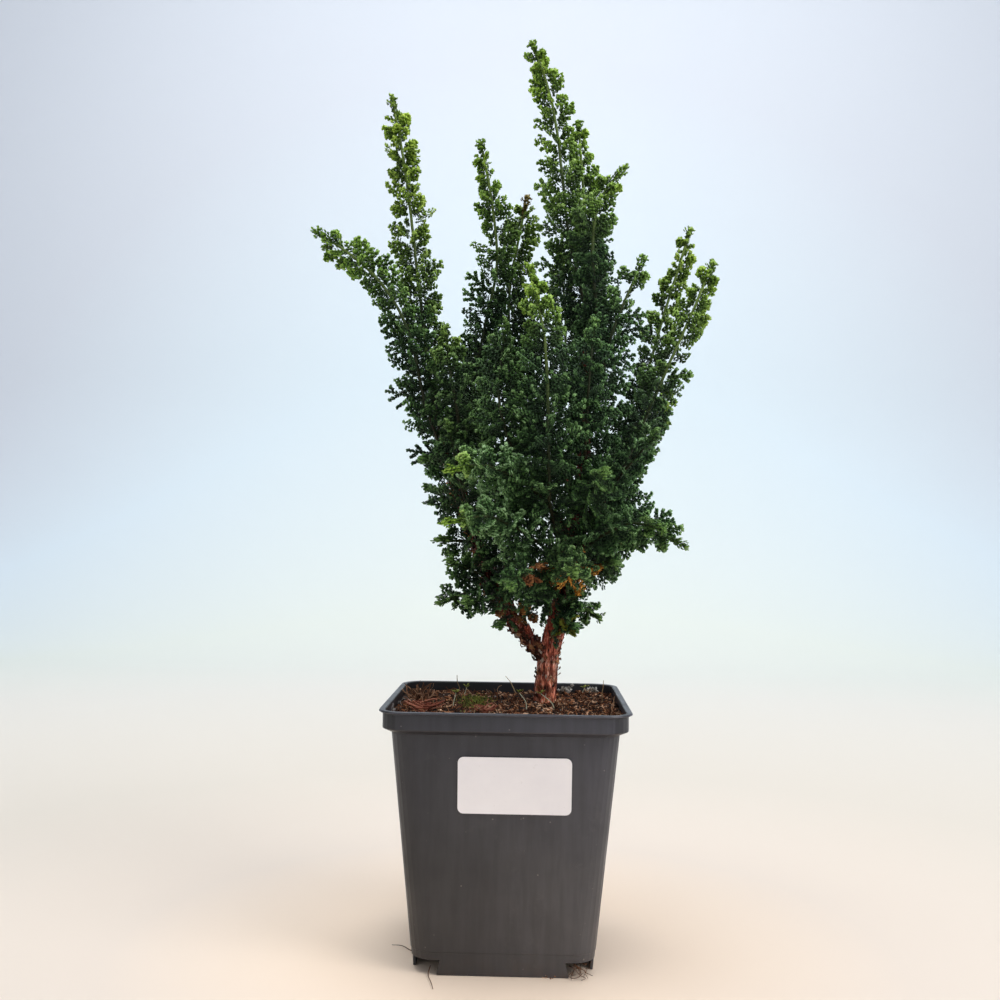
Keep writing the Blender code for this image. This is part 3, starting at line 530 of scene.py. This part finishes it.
def whorls_of(node):
    """Rings of a leafy stem, from its foot up: each ring's centre and the tips of its side sprays.

    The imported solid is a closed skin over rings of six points: between the ends three hollows,
    with eight neighbours, and three tips, with four. Only from the stem's pointed end do all the
    others lie in steps of six.
    """
    places = np.array([vertex.co for vertex in node.data.vertices])
    grid = np.round(places / (0.01 * MM)).astype(int)
    _, first, welded = np.unique(grid, axis=0, return_index=True, return_inverse=True)
    points, welded = places[first], welded.ravel()
    neighbours = [set() for _ in points]
    for polygon in node.data.polygons:
        corners = [welded[v] for v in polygon.vertices]
        for a, b in zip(corners, corners[1:] + corners[:1]):
            neighbours[a].add(b)
            neighbours[b].add(a)
    rows = ((point, steps_from(point, neighbours)) for point in range(len(points)))
    apex, rings = next((point, rings) for point, rings in rows if rings)
    whorls = []
    for i, ring in enumerate(rings[::-1]):
        inner = 0 < i < len(rings) - 1
        tips = [p for p in ring if len(neighbours[p]) <= 5] if inner else []
        hollows = [p for p in ring if p not in tips]
        whorls.append((points[hollows].mean(axis=0), points[tips]))
    return whorls, points[apex]


def steps_from(apex, neighbours):
    """Rings of six at one step, two steps and so on from a point, or None."""
    seen = {apex}
    ring = sorted(neighbours[apex])
    rings = []
    while ring:
        if len(ring) != 6:
            return None
        rings.append(ring)
        seen.update(ring)
        ring = sorted({n for p in ring for n in neighbours[p]} - seen)
    return rings if len(seen) == len(neighbours) else None


class Twigs:
    """The lobed twigs of one leafy stem."""

    def __init__(self, rng):
        self.rng = rng
        self.rows = []
        self.youth = 0.0

    def add_lobes(self, places, ways, backs, lengths, widths, tones):
        backs = backs + self.rng.normal(0, 0.14, (len(places), 3))
        youth = np.full(len(places), self.youth)
        self.rows.append(np.column_stack([places, ways, backs, lengths, widths, tones, youth]))

    def twig(self, start, end, side, tone, width, in_pairs):
        """A spine with lobes on both sides, in pairs or in turns, and three at its end."""
        rng = self.rng
        spine = end - start
        length = float(np.linalg.norm(spine))
        way = spine / length
        back = np.cross(way, side)
        steps = max(2, round(length / LOBE_PITCH))
        turns = np.tile((1.0, -1.0), steps if in_pairs else (steps + 1) // 2)
        order = np.arange(len(turns)) // (2 if in_pairs else 1)
        t = (order + 0.3) / steps
        arch = back * length * rng.uniform(-0.12, 0.12)
        places = start + np.outer(t, spine) + np.outer(4 * t * (1 - t), arch)
        lean = np.radians(rng.uniform(*LOBE_LEAN, len(t)) - 8 * t)
        faces = np.where(order % 2, 1.0, -1.0)
        lift = faces * LOBE_TILT + rng.uniform(-0.1, 0.1, len(t))
        ways = unit(np.outer(np.cos(lean), way) + np.outer(np.sin(lean) * turns, side)
                    + np.outer(lift, back))
        swell = 0.85 + 0.25 * np.sin(pi * t)
        lengths = LOBE_LENGTH * sqrt(width) * swell * rng.uniform(0.88, 1.12, len(t))
        widths = LOBE_WIDTH * width * rng.uniform(0.88, 1.12, len(t))
        # painted shade towards the foot of the twig, painted light towards its end
        self.add_lobes(places, ways, np.outer(faces, back), lengths, widths, tone * (0.45 + 0.8 * t))
        # three lobes at the end, with painted light
        ends = np.array((-0.6, 0.0, 0.6))
        ways = unit(way + np.outer(ends, side) + np.outer(rng.uniform(-0.15, 0.15, 3), back))
        lengths = LOBE_LENGTH * np.array((0.8, 1.1, 0.8)) * sqrt(width)
        places = end - np.outer(lengths * 0.6, way)
        widths = np.full(3, LOBE_WIDTH * width)
        self.add_lobes(places, ways, np.tile(back, (3, 1)), lengths, widths, np.full(3, tone * 1.6))

    def spray(self, start, end, stem_way, tone, width):
        """A flat side spray, roughly in one plane with its stem: a main twig and side twigs in turns."""
        rng = self.rng
        spine = end - start
        length = float(np.linalg.norm(spine))
        way = spine / length
        leaning = stem_way + rng.normal(0, 0.2, 3)
        flat = unit(leaning - way * np.dot(leaning, way))
        turned = rng.normal(0, 0.35) + rng.choice((-0.9, 0.9)) * way[1] ** 2
        side = cos(turned) * flat + sin(turned) * np.cross(way, flat)
        back = np.cross(way, side)
        self.twig(start, end, side, tone, width, True)
        if length < SHORTEST_WITH_SIDES:
            return
        turn = rng.choice((-1, 1))
        for spot, share in SIDE_TWIGS:
            foot = start + spine * (spot + rng.uniform(-0.03, 0.03))
            lean = radians(rng.uniform(*SIDE_TWIG_LEAN))
            out = unit(way * cos(lean) + side * turn * sin(lean) + back * rng.uniform(-0.22, 0.22))
            reach = length * share * rng.uniform(0.85, 1.15)
            flat = unit(side - out * np.dot(side, out))
            # painted shade on the side twigs nearest the foot of the spray
            side_tone = tone * (0.75 + 0.4 * spot) + rng.uniform(-0.05, 0.05)
            self.twig(foot, foot + out * reach, flat, side_tone, width, True)
            turn = -turn

    def add_to(self, skin, old, new):
        """Adds the twigs to a skin, in colours between those of old and of new growth."""
        if not self.rows:
            return
        rows = np.concatenate(self.rows)
        places, ways, backs = rows[:, 0:3], rows[:, 3:6], rows[:, 6:9]
        lengths, widths, tones = rows[:, 9], rows[:, 10], rows[:, 11]
        youth = rows[:, 12, None, None]
        vertices, triangles = lobes(places, ways, backs, lengths, widths)
        # painted shade at the foot of each lobe and painted light at its tip
        steps = np.array((-0.2, 0.0, 0.0, 0.16))
        tones = tones[:, None] + steps + self.rng.uniform(-0.04, 0.04, (len(rows), 1))
        colours = (1 - youth) * colour_at(old, tones) + youth * colour_at(new, tones)
        skin.add(vertices, triangles, colours.reshape(-1, 3))


def dress_stem(name, node, finish, colours, tips_of, rng, light, ending, reach, spread=TONE_SPREAD):
    """Fine foliage of one leafy stem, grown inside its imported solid."""
    whorls, apex = whorls_of(node)
    most, last_ones = Twigs(rng), Twigs(rng)
    withered = [Twigs(rng) for _ in WITHERED_PLACES]
    centres = np.array([centre for centre, _ in whorls])
    ways = unit(np.gradient(np.vstack([centres, apex]), axis=0))
    strength, run = tips_of
    vigour = strength * min(1, run / LEADER_RUN)
    for i, (centre, tips) in enumerate(whorls):
        share = i / len(whorls)
        open_in_front = share > OPEN_FROM and vigour > LEADER_FROM
        to_end = np.linalg.norm(apex - centre)
        youth = strength * max(0.0, 1 - to_end / (run * MM)) ** 0.8
        height = (centre[2] - CROWN_FOOT) / CROWN_HEIGHT
        for tip in tips:
            whole = tip - centre
            if np.linalg.norm(whole) < SHORTEST_SPRAY:
                continue
            out = whole / np.linalg.norm(whole)
            if open_in_front and out[1] < -0.5 and rng.random() < SPARSE_IN_FRONT:
                continue
            # the tone holds painted light at the top of the crown
            tone = (TONE + light + PAINTED_LIGHT_AT_TOP * height + rng.uniform(-spread, spread)
                    + TONE_OF_YOUTH * youth)
            full = rng.uniform(*FULL_SPRAY)
            if share > BARE_FROM and rng.random() < SHORT_SPRAYS:
                full = rng.uniform(*SHORT_SPRAY)
            end = centre + whole * full * reach
            twigs = last_ones if to_end < ending[0] else most
            twigs.youth = min(1.0, 1.4 * youth)
            for (place, around, _), gone in zip(WITHERED_PLACES, withered):
                if np.linalg.norm(end - np.array(place) * MM) < around * MM:
                    twigs = gone
            twigs.spray(centre + whole * 0.1, end, ways[i], tone, 1.15 - 0.15 * height + 0.3 * youth)
            if share < BARE_FROM or light > 0:
                turned = Matrix.Rotation(rng.uniform(0.8, 1.3), 3, Vector(ways[i]))
                inner = np.array(turned @ Vector(whole)) * rng.uniform(*INNER_TWIG)
                # an inner twig, in painted shade
                twigs.twig(centre, centre + inner, across(unit(inner))[0][0], tone * 0.6, 1.1, False)
    top_twigs(last_ones if ending[0] else most, centres[-1], apex, ways[-1], strength)
    skin = Skin()
    cast = 1 + rng.uniform(-1, 1, 3) * (0.05, 0.03, 0.1)
    most.add_to(skin, np.array(colours[0]) * cast, np.array(colours[1]) * cast)
    last_ones.add_to(skin, ending[1], ending[1])
    for (*_, kind), gone in zip(WITHERED_PLACES, withered):
        gone.add_to(skin, WITHERED[kind], WITHERED[kind])
    route = np.concatenate([centres, [centres[-1] + (apex - centres[-1]) * 0.5]])
    sides = 5
    vertices, triangles = tube(route, np.linspace(0.9, 0.45 + 0.25 * vigour, len(route)) * MM, sides)
    share = np.clip((np.arange(len(vertices)) - 1) // sides / len(route), 0, 1)
    skin.add(vertices, triangles, colour_at(STEM_COLOURS, share * (0.35 + 0.65 * vigour)))
    piece = skin.piece(name, finish)
    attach(piece, "root")
    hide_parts(node.name)
    return piece


def top_twigs(twigs, last, apex, way, strength):
    """Short twigs in turns round the end of a stem, and three long ones up to its point."""
    rng = twigs.rng
    twigs.youth = strength
    first, second = across(way)
    for k in range(5):
        foot = last + (apex - last) * (0.1 + 0.17 * k)
        out = cos(2.4 * k) * first[0] + sin(2.4 * k) * second[0] + way
        twigs.twig(foot, foot + out * rng.uniform(1.7, 2.6) * MM, across(unit(out))[0][0], 0.45, 1.3, True)
    for k in range(3):
        sway = rng.normal(0, 0.7 * MM, 3)
        twigs.twig(last - (apex - last) * 0.4 * k, apex + sway, first[0], 0.42 + 0.15 * strength, 1.9, True)


def hanging_twigs(finish):
    """Leafy twigs that hang in front of the trunk, each with sprays to both sides."""
    rng = np.random.default_rng(31)
    twigs = Twigs(rng)
    for foot, end in HANGING_TWIGS:
        foot, end = np.array(foot) * MM, np.array(end) * MM
        way = unit(end - foot)
        side = across(way)[0][0]
        turn = 1
        for share in np.linspace(0.05, 0.95, 9):
            place = foot + (end - foot) * share
            out = unit(way + turn * 1.1 * side + rng.normal(0, 0.3, 3))
            twigs.spray(place, place + out * rng.uniform(4.4, 6.2) * MM, way, rng.uniform(0.33, 0.45), 1.1)
            turn = -turn
        twigs.twig(foot, end, side, 0.38, 1.2, True)
    skin = Skin()
    twigs.add_to(skin, OLD_GREENS, OLD_GREENS)
    finish_piece(skin, "hanging_twigs", finish)


def dress_crown():
    """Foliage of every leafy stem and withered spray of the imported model."""
    green = painted("foliage_look", 1500, 0.35, 0.5, 0.4, 0.35)
    dead = painted("withered_look", 1500, 0.4, 0.75, 0.2, 0.4)
    hanging_twigs(green)
    for order, (name, node) in enumerate(sorted(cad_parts.items())):
        rng = np.random.default_rng(1000 + order)
        short = name.removeprefix("leafy_stem_").removeprefix("withered_spray_")
        ending = OTHER_ENDS.get(short, (0.0, OLD_GREENS))
        if name.startswith("leafy_stem_"):
            behind = short.startswith("rear_") and short not in LIT_REAR_STEMS
            light = LIGHTER.get(short, REAR_SHADE if behind else 0.0)
            piece = dress_stem(short + "_foliage", node, green, (OLD_GREENS, NEW_GREENS),
                               LIME_TIPS.get(short, LIME_ELSEWHERE), rng, light, ending,
                               SLIMMER.get(short, 1.0))
        elif name.startswith("withered_spray_"):
            colours = OLD_GREENS if short in GREEN_BUT_FOR_THE_END else WITHERED[short]
            piece = dress_stem(short + "_withered", node, dead, (colours, colours), WITHERED_TIPS, rng, 0.0,
                               ending, SLIMMER.get(short, WITHERED_REACH), WITHERED_TONE_SPREAD)


# Bark

def rough_bark(route, radii, seed):
    """Ring radii of a tube whose bark stands up in long strips and ends in ragged flakes."""
    swell = np.empty((len(route), BARK_SIDES))
    for i, point in enumerate(route):
        for k in range(BARK_SIDES):
            angle = 2 * pi * k / BARK_SIDES
            spot = Vector((cos(angle) * 2.3, sin(angle) * 2.3, point[2] / (6 * MM) + seed))
            swell[i, k] = 1.06 + 0.1 * noise.noise(spot) + 0.06 * noise.noise(spot * 4.3)
    return swell * (np.linspace(*radii, len(route)) * MM)[:, None]


def bark_sleeve(name, points, radii, seed, finish):
    """Bark round a stretch of wood. Returns places along it."""
    route = smooth_route(points, BARK_STEP)
    skin = Skin()
    skin.add(*tube(route, rough_bark(route, radii, seed), BARK_SIDES), (0.2, 0.07, 0.04))
    finish_piece(skin, name, finish)
    return route


def bark_scales(routes, finish):
    """Loose flakes and old scale leaves on the trunk and the left limb."""
    rng = np.random.default_rng(77)
    colours = ((0.025, 0.011, 0.007), (0.12, 0.042, 0.022), (0.42, 0.18, 0.07),
               (0.52, 0.42, 0.34))
    skin = Skin()
    for route, (radii, count, size, stand) in routes:
        ways = unit(np.gradient(route, axis=0))
        picks = rng.integers(0, len(route), count)
        first, second = across(ways[picks])
        angles = rng.uniform(0, 2 * pi, count)
        out = np.cos(angles)[:, None] * first + np.sin(angles)[:, None] * second
        radius = (radii[0] + (radii[1] - radii[0]) * picks / len(route)) * MM
        starts = route[picks] + out * radius[:, None]
        lean = rng.uniform(0.05, stand, count)[:, None]
        upward = ways[picks] * rng.choice([1, 1, -1], count)[:, None]
        directions = unit(upward + out * lean + rng.normal(0, 0.12, (count, 3)))
        lengths = rng.uniform(0.35, 1.0, count) ** 1.5 * size * MM
        widths = lengths * rng.uniform(0.15, 0.4, count)
        vertices, triangles = lobes(starts, directions, out, lengths, widths)
        skin.add(vertices, triangles, colour_at(colours, np.repeat(rng.uniform(0, 1, count) ** 1.3, 4)))
    finish_piece(skin, "bark_scales", finish, False)


def dress_trunk():
    """Bark and flakes of the trunk and the left limb."""
    # the trunk's bark with painted light, the limb's with painted shade
    bark = bark_look("bark_look", 1.42)
    shaded_bark = bark_look("shaded_limb_bark_look", 0.7)
    set_finish("trunk", bark)
    trunk = bark_sleeve("trunk_bark", TRUNK_ROUTE, TRUNK_RADII, 3.0, bark)
    limb = bark_sleeve("limb_bark", LIMB_ROUTE, LIMB_RADII, 9.0, shaded_bark)
    flake = painted("bark_scale_look", 1200, 0.5, 0.85, 0.2, 0.5)
    bark_scales([(trunk[:int(len(trunk) * FLAKED_SHARE)], TRUNK_FLAKES), (limb, LIMB_FLAKES)], flake)


def set_finish(node, finish):
    """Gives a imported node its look, in its own material slots."""
    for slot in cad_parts[node].material_slots:
        slot.material = finish


# Soil and what grows and lies on it

def rounded_reach(angle, half, radius):
    """Distance from the middle of a rounded square to its edge."""
    c, s = abs(cos(angle)), abs(sin(angle))
    straight = half / max(c, s)
    if min(c, s) * straight <= half - radius:
        return straight
    inner = half - radius
    return (c + s) * inner + sqrt(((c + s) * inner) ** 2 - 2 * inner ** 2 + radius ** 2)


def soil_height(x, y):
    """Height of the loose soil at a place: heaped along the walls, lumpy all over."""
    place = Vector((x / (9 * MM), y / (9 * MM), 1.7))
    lumps = noise.noise(place) * 1.1 + noise.noise(place * 2.9) * 0.75 + noise.noise(place * 7.7) * 0.55
    heap = 1.1 * max(0.0, x / (52 * MM)) + 0.9 * max(0.0, -x / (52 * MM)) * (0.4 + y / (80 * MM))
    sunk = -1.4 * max(0.0, 1 - hypot(x + 44 * MM, y + 30 * MM) / (22 * MM))
    return SOIL_LEVEL + (lumps + heap + sunk) * MM


def soil_surface(finish):
    """Closed slab whose top is crumbly soil, fitted to the inside of the collar."""
    count = SOIL_CELLS
    gap_to_wall = 0.15 * MM
    half = COLLAR_INSIDE / 2 - gap_to_wall
    skin_floor = SOIL_LEVEL - SOIL_DEPTH
    vertices = []
    for j in range(count + 1):
        for i in range(count + 1):
            x, y = (2 * i / count - 1) * half, (2 * j / count - 1) * half
            angle = atan2(y, x)
            pull = rounded_reach(angle, half, COLLAR_INSIDE_RADIUS) / rounded_reach(angle, half, 0)
            x, y = x * pull, y * pull
            vertices.append((x, y, soil_height(x, y)))
    row = count + 1
    grid = np.arange(row ** 2).reshape(row, row)
    edge = [*grid[0, :-1], *grid[:-1, -1], *grid[-1, :0:-1], *grid[:0:-1, 0]]
    triangles = []
    for j in range(count):
        for i in range(count):
            a = j * row + i
            triangles += [(a, a + 1, a + row + 1), (a, a + row + 1, a + row)]
    foot = len(vertices)
    vertices += [(*vertices[v][:2], skin_floor) for v in edge]
    vertices.append((0, 0, skin_floor))
    for k, v in enumerate(edge):
        j = (k + 1) % len(edge)
        triangles += [(edge[j], v, foot + k), (edge[j], foot + k, foot + j)]
        triangles.append((foot + j, foot + k, len(vertices) - 1))
    vertices = np.array(vertices)
    tones = np.array([noise.noise(Vector(v) / (3.1 * MM)) * 0.9 + 0.4 for v in vertices])
    colours = ((0.008, 0.004, 0.003), (0.04, 0.018, 0.01), (0.14, 0.064, 0.034))
    skin = Skin()
    skin.add(vertices, triangles, colour_at(colours, tones))
    finish_piece(skin, "soil_surface", finish)


def soil_spots(rng, count):
    """Random places on the soil, inside the collar and clear of the trunk."""
    foot_x, foot_y, _ = TRUNK_ROUTE[0]
    spots = []
    while len(spots) < count:
        x, y = rng.uniform(-LITTER_REACH, LITTER_REACH, 2)
        inside = hypot(x, y) <= rounded_reach(atan2(y, x), LITTER_REACH, COLLAR_INSIDE_RADIUS)
        if inside and hypot(x - foot_x * MM, y - foot_y * MM) >= TRUNK_CLEARANCE:
            spots.append((x, y, soil_height(x, y)))
    return np.array(spots)


def soil_crumbs(finish):
    """Crumbs of peat and bark, pale grains of perlite, grey clumps and what fell on the floor."""
    rng = np.random.default_rng(5)
    browns = ((0.012, 0.006, 0.004), (0.165, 0.06, 0.027), (0.51, 0.22, 0.105),
              (0.88, 0.56, 0.36))
    greys = ((0.2, 0.17, 0.14), (0.42, 0.4, 0.36), (0.66, 0.64, 0.6))
    skin = Skin()
    for (count, size, plump), colours in zip(CRUMBS + (PERLITE_GRAINS,), (browns, browns, greys)):
        add_crumbs(skin, rng, soil_spots(rng, count), size, colours, plump)
    for x, y, reach in GREY_CLUMPS:
        spread = rng.normal(0, 0.42, (36, 3)) * (1.0, 0.6, 0.35) + (0, 0, 0.3)
        centre = np.array((x * MM, y * MM, soil_height(x * MM, y * MM)))
        add_crumbs(skin, rng, centre + spread * reach * MM, (1.4, 3.4), greys, 1.5)
    corner, far_corner, count = FALLEN_CRUMBS
    fallen = rng.uniform(corner, far_corner, (count, 3)) * MM
    add_crumbs(skin, rng, fallen, (0.5, 1.3), browns, 1.0)
    finish_piece(skin, "soil_crumbs", finish, False)


def add_crumbs(skin, rng, spots, size, colours, plump):
    """Crumbs at given places, lying every way, lighter and darker in patches."""
    count = len(spots)
    directions = unit(rng.normal(0, 1, (count, 3)) * (1, 1, 0.5))
    lengths = rng.uniform(*size, count) * MM
    starts = spots - directions * (lengths * 0.5)[:, None] + (0, 0, 0.3 * MM)
    widths = lengths * rng.uniform(0.2, 0.42, count) * plump
    vertices, triangles = spindles(starts, directions, lengths, widths)
    patches = np.array([noise.noise(Vector(spot) / (7 * MM)) for spot in spots])
    tones = rng.uniform(0, 1, count) ** 1.45 * np.clip(1.0 + 1.5 * patches, 0.3, 1.8)
    skin.add(vertices, triangles, colour_at(colours, np.repeat(tones, 6)))


def strand(rng, start, heading, length, bends, droop, pieces):
    """A thin crooked route from a place."""
    route = [np.array(start, float)]
    way = unit(heading)
    for _ in range(pieces):
        way = unit(way + rng.normal(0, bends, 3) - [0, 0, droop])
        route.append(route[-1] + way * length / pieces)
    return np.array(route)


def add_thread(skin, route, thick, paint, sides=3):
    """A thread along a route, half as thick at its end."""
    skin.add(*tube(route, np.linspace(thick, thick * 0.5, len(route)), sides), paint)


def soil_fibres(finish):
    """Coir fibres and root hairs that lie in and stand out of the soil."""
    rng = np.random.default_rng(6)
    colours = ((0.04, 0.016, 0.01), (0.24, 0.088, 0.04), (0.5, 0.24, 0.12),
               (0.7, 0.44, 0.27))
    skin = Skin()
    for x, y, z in soil_spots(rng, FIBRES):
        heading = rng.normal(0, 1, 3) * (1, 1, 0.55) + (0, 0, 0.35)
        route = strand(rng, (x, y, z - 0.2 * MM), heading, rng.uniform(2.0, 7.0) * MM, 0.45, 0.12, 4)
        route[:, :2] = np.clip(route[:, :2], -51 * MM, 51 * MM)
        add_thread(skin, route, rng.uniform(0.1, 0.24) * MM, colour_at(colours, rng.uniform(0, 1) ** 1.1))
    finish_piece(skin, "soil_fibres", finish)


def soil_roots(finish):
    """Twisted roots, brown tufts, pale threads, straws and the roots at the notches."""
    rng = np.random.default_rng(8)
    reds = ((0.04, 0.014, 0.009), (0.26, 0.075, 0.045), (0.56, 0.24, 0.15))
    browns = ((0.04, 0.018, 0.01), (0.2, 0.09, 0.045), (0.42, 0.25, 0.15))
    straw = ((0.3, 0.19, 0.09), (0.62, 0.48, 0.28))
    skin = Skin()
    for x, y, reach, count in TWISTED_ROOTS:
        for _ in range(count):
            turns = np.linspace(0, rng.uniform(1.5, 5.0), 9) + rng.uniform(0, 2 * pi)
            size = rng.uniform(0.35, 1.0) * reach * MM
            way = rng.uniform(-0.25, 0.25, 2) * reach * MM
            level = soil_height(x * MM, y * MM) + rng.uniform(0.4, 4.0) * MM
            route = np.stack([x * MM + way[0] + size * np.cos(turns),
                              y * MM + way[1] + 0.6 * size * np.sin(turns),
                              level + 1.1 * MM * np.sin(turns * 2.3)], axis=1)
            add_thread(skin, route, rng.uniform(0.28, 0.52) * MM, colour_at(reds, rng.uniform(0.3, 1)), 4)
    for x, y, height, count in TUFTS:
        for _ in range(count):
            start = np.array((x, y, 110)) * MM + rng.normal(0, 1.6 * MM, 3) * (1, 1, 0)
            heading = rng.normal(0, 0.35, 3) + (0, 0, 1)
            route = strand(rng, start, heading, rng.uniform(0.35, 1.0) * height * MM, 0.32, 0.0, 5)
            add_thread(skin, route, rng.uniform(0.2, 0.6) * MM, colour_at(browns, rng.uniform(0, 1)), 4)
    for _ in range(16):  # threads along the left wall
        start = np.array((-51.2, rng.uniform(-25, 15), rng.uniform(109.5, 112))) * MM
        heading = rng.normal(0, 1, 3) * (0.3, 1, 0.5) + (0.35, 0, 0.5)
        route = strand(rng, start, heading, rng.uniform(5, 11) * MM, 0.4, 0.1, 7)
        route[:, 0] = np.clip(route[:, 0], -51.7 * MM, 0)
        add_thread(skin, route, 0.09 * MM, (0.62, 0.58, 0.55))
    for foot, top in STRAWS:
        route = np.linspace(foot, top, 4) * MM + rng.normal(0, 0.25 * MM, (4, 3))
        add_thread(skin, route, 0.3 * MM, colour_at(straw, rng.uniform(0, 1)), 5)
    for points in LOOSE_ROOTS:
        add_thread(skin, smooth_route(points, 1.2 * MM), 0.24 * MM, np.array(browns[1]) * 0.6, 5)
    for _ in range(14):  # rootlets at the right front notch
        start = rng.uniform((29, -38.5, 1.5), (37, -36, 6)) * MM
        route = strand(rng, start, (0.3, -1, -0.2), rng.uniform(4, 9) * MM, 0.55, 0.12, 9)
        route[:, 2] = np.maximum(route[:, 2], 0.4 * MM)
        add_thread(skin, route, 0.2 * MM, colour_at(browns, rng.uniform(0.1, 0.7)))
    finish_piece(skin, "soil_roots", finish)


def soil_greenery(finish):
    """Moss and seedlings."""
    rng = np.random.default_rng(9)
    greens = ((0.04, 0.044, 0.01), (0.14, 0.158, 0.026), (0.36, 0.39, 0.085))
    skin = Skin()
    x, y, *reach = MOSS_PATCH
    spread = rng.normal(0, 0.42, (MOSS_BLADES, 2))
    middle = np.array([(px, py, soil_height(px, py)) for px, py in (spread * reach + (x, y)) * MM])
    ways = unit(rng.normal(0, 0.45, (len(middle), 3)) + (0, 0, 1))
    lengths = rng.uniform(0.8, 1.9, len(middle)) * MM
    vertices, triangles = spindles(middle - (0, 0, 0.2 * MM), ways, lengths, np.full(len(middle), 0.28 * MM))
    skin.add(vertices, triangles, colour_at(greens, np.repeat(rng.uniform(0, 0.9, len(middle)), 6)))
    for points in SEEDLINGS:
        route = smooth_route(points, 1.0 * MM)
        add_thread(skin, route, 0.28 * MM, (0.62, 0.64, 0.46), 5)
        count = 4
        around = rng.uniform(0, 2 * pi) + np.arange(count) * 2 * pi / count
        ways = unit(np.stack([np.cos(around), np.sin(around), rng.uniform(0.2, 0.9, count)], axis=1))
        starts, backs = np.tile(route[-1], (count, 1)), np.tile((0, 0, 1.0), (count, 1))
        lengths = rng.uniform(2.2, 3.4, count) * MM
        vertices, triangles = lobes(starts, ways, backs, lengths, np.full(count, 0.6 * MM))
        skin.add(vertices, triangles, colour_at(greens, rng.uniform(0.6, 1.0)))
    finish_piece(skin, "soil_greenery", finish)


# Stage

def make_stage():
    """One sheet of paper: floor, a wide curve and a wall behind."""
    depth, bend, top, side, steps = 1.1, 0.5, 2.2, 3.0, 16
    profile = [(-2.2, 0.0), (depth, 0.0)]
    for k in range(1, steps + 1):
        angle = (pi / 2) * k / steps
        profile.append((depth + bend * sin(angle), bend - bend * cos(angle)))
    profile.append((depth + bend, top))
    below_the_pot = 0.2 * MM
    vertices = [(x, y, z - below_the_pot) for y, z in profile for x in (-side, side)]
    faces = [(2 * i, 2 * i + 1, 2 * i + 3, 2 * i + 2) for i in range(len(profile) - 1)]
    mesh = bpy.data.meshes.new("studio_floor")
    mesh.from_pydata(vertices, [], faces)
    mesh.shade_smooth()
    mesh.materials.append(floor_look())
    floor = add_object("studio_floor", mesh)


def make_lights():
    """A sky that is lighter to the right, and four soft lights."""
    world = bpy.data.worlds.new("studio")
    world.use_nodes = True
    nodes, links = world.node_tree.nodes, world.node_tree.links
    background = nodes["Background"]
    background.inputs["Color"].default_value = SKY_COLOUR
    axes = nodes.new("ShaderNodeSeparateXYZ")
    links.new(nodes.new("ShaderNodeTexCoord").outputs["Generated"], axes.inputs["Vector"])
    from_left = nodes.new("ShaderNodeMapRange")
    links.new(axes.outputs["X"], from_left.inputs["Value"])
    for name, number in zip(("From Min", "From Max", "To Min", "To Max"), (-1.0, 1.0, *SKY_STRENGTH)):
        from_left.inputs[name].default_value = number
    links.new(from_left.outputs["Result"], background.inputs["Strength"])
    bpy.context.scene.world = world
    bpy.context.scene.view_settings.view_transform = "Standard"
    for name, place, target, size, power, colour in LIGHTS:
        data = bpy.data.lights.new(name, "AREA")
        data.shape = "RECTANGLE"
        data.size, data.size_y = size
        data.energy = power
        data.color = colour
        light = add_object(name, data)
        light.location = place
        light.rotation_euler = (Vector(target) - Vector(place)).to_track_quat("-Z", "Y").to_euler()


make_camera()
make_stage()
make_lights()
set_finish("pot", pot_plastic())
set_finish("label", label_paper())
loose = painted("soil_look", 1300, 0.7, 0.95, 0.15, 0.6)
fibre = painted("fibre_look", 1500, 0.3, 0.85, 0.2, 0.4)
set_finish("soil", loose)
soil_surface(loose)
soil_crumbs(loose)
soil_fibres(fibre)
soil_roots(fibre)
soil_greenery(fibre)
dress_trunk()
dress_crown()
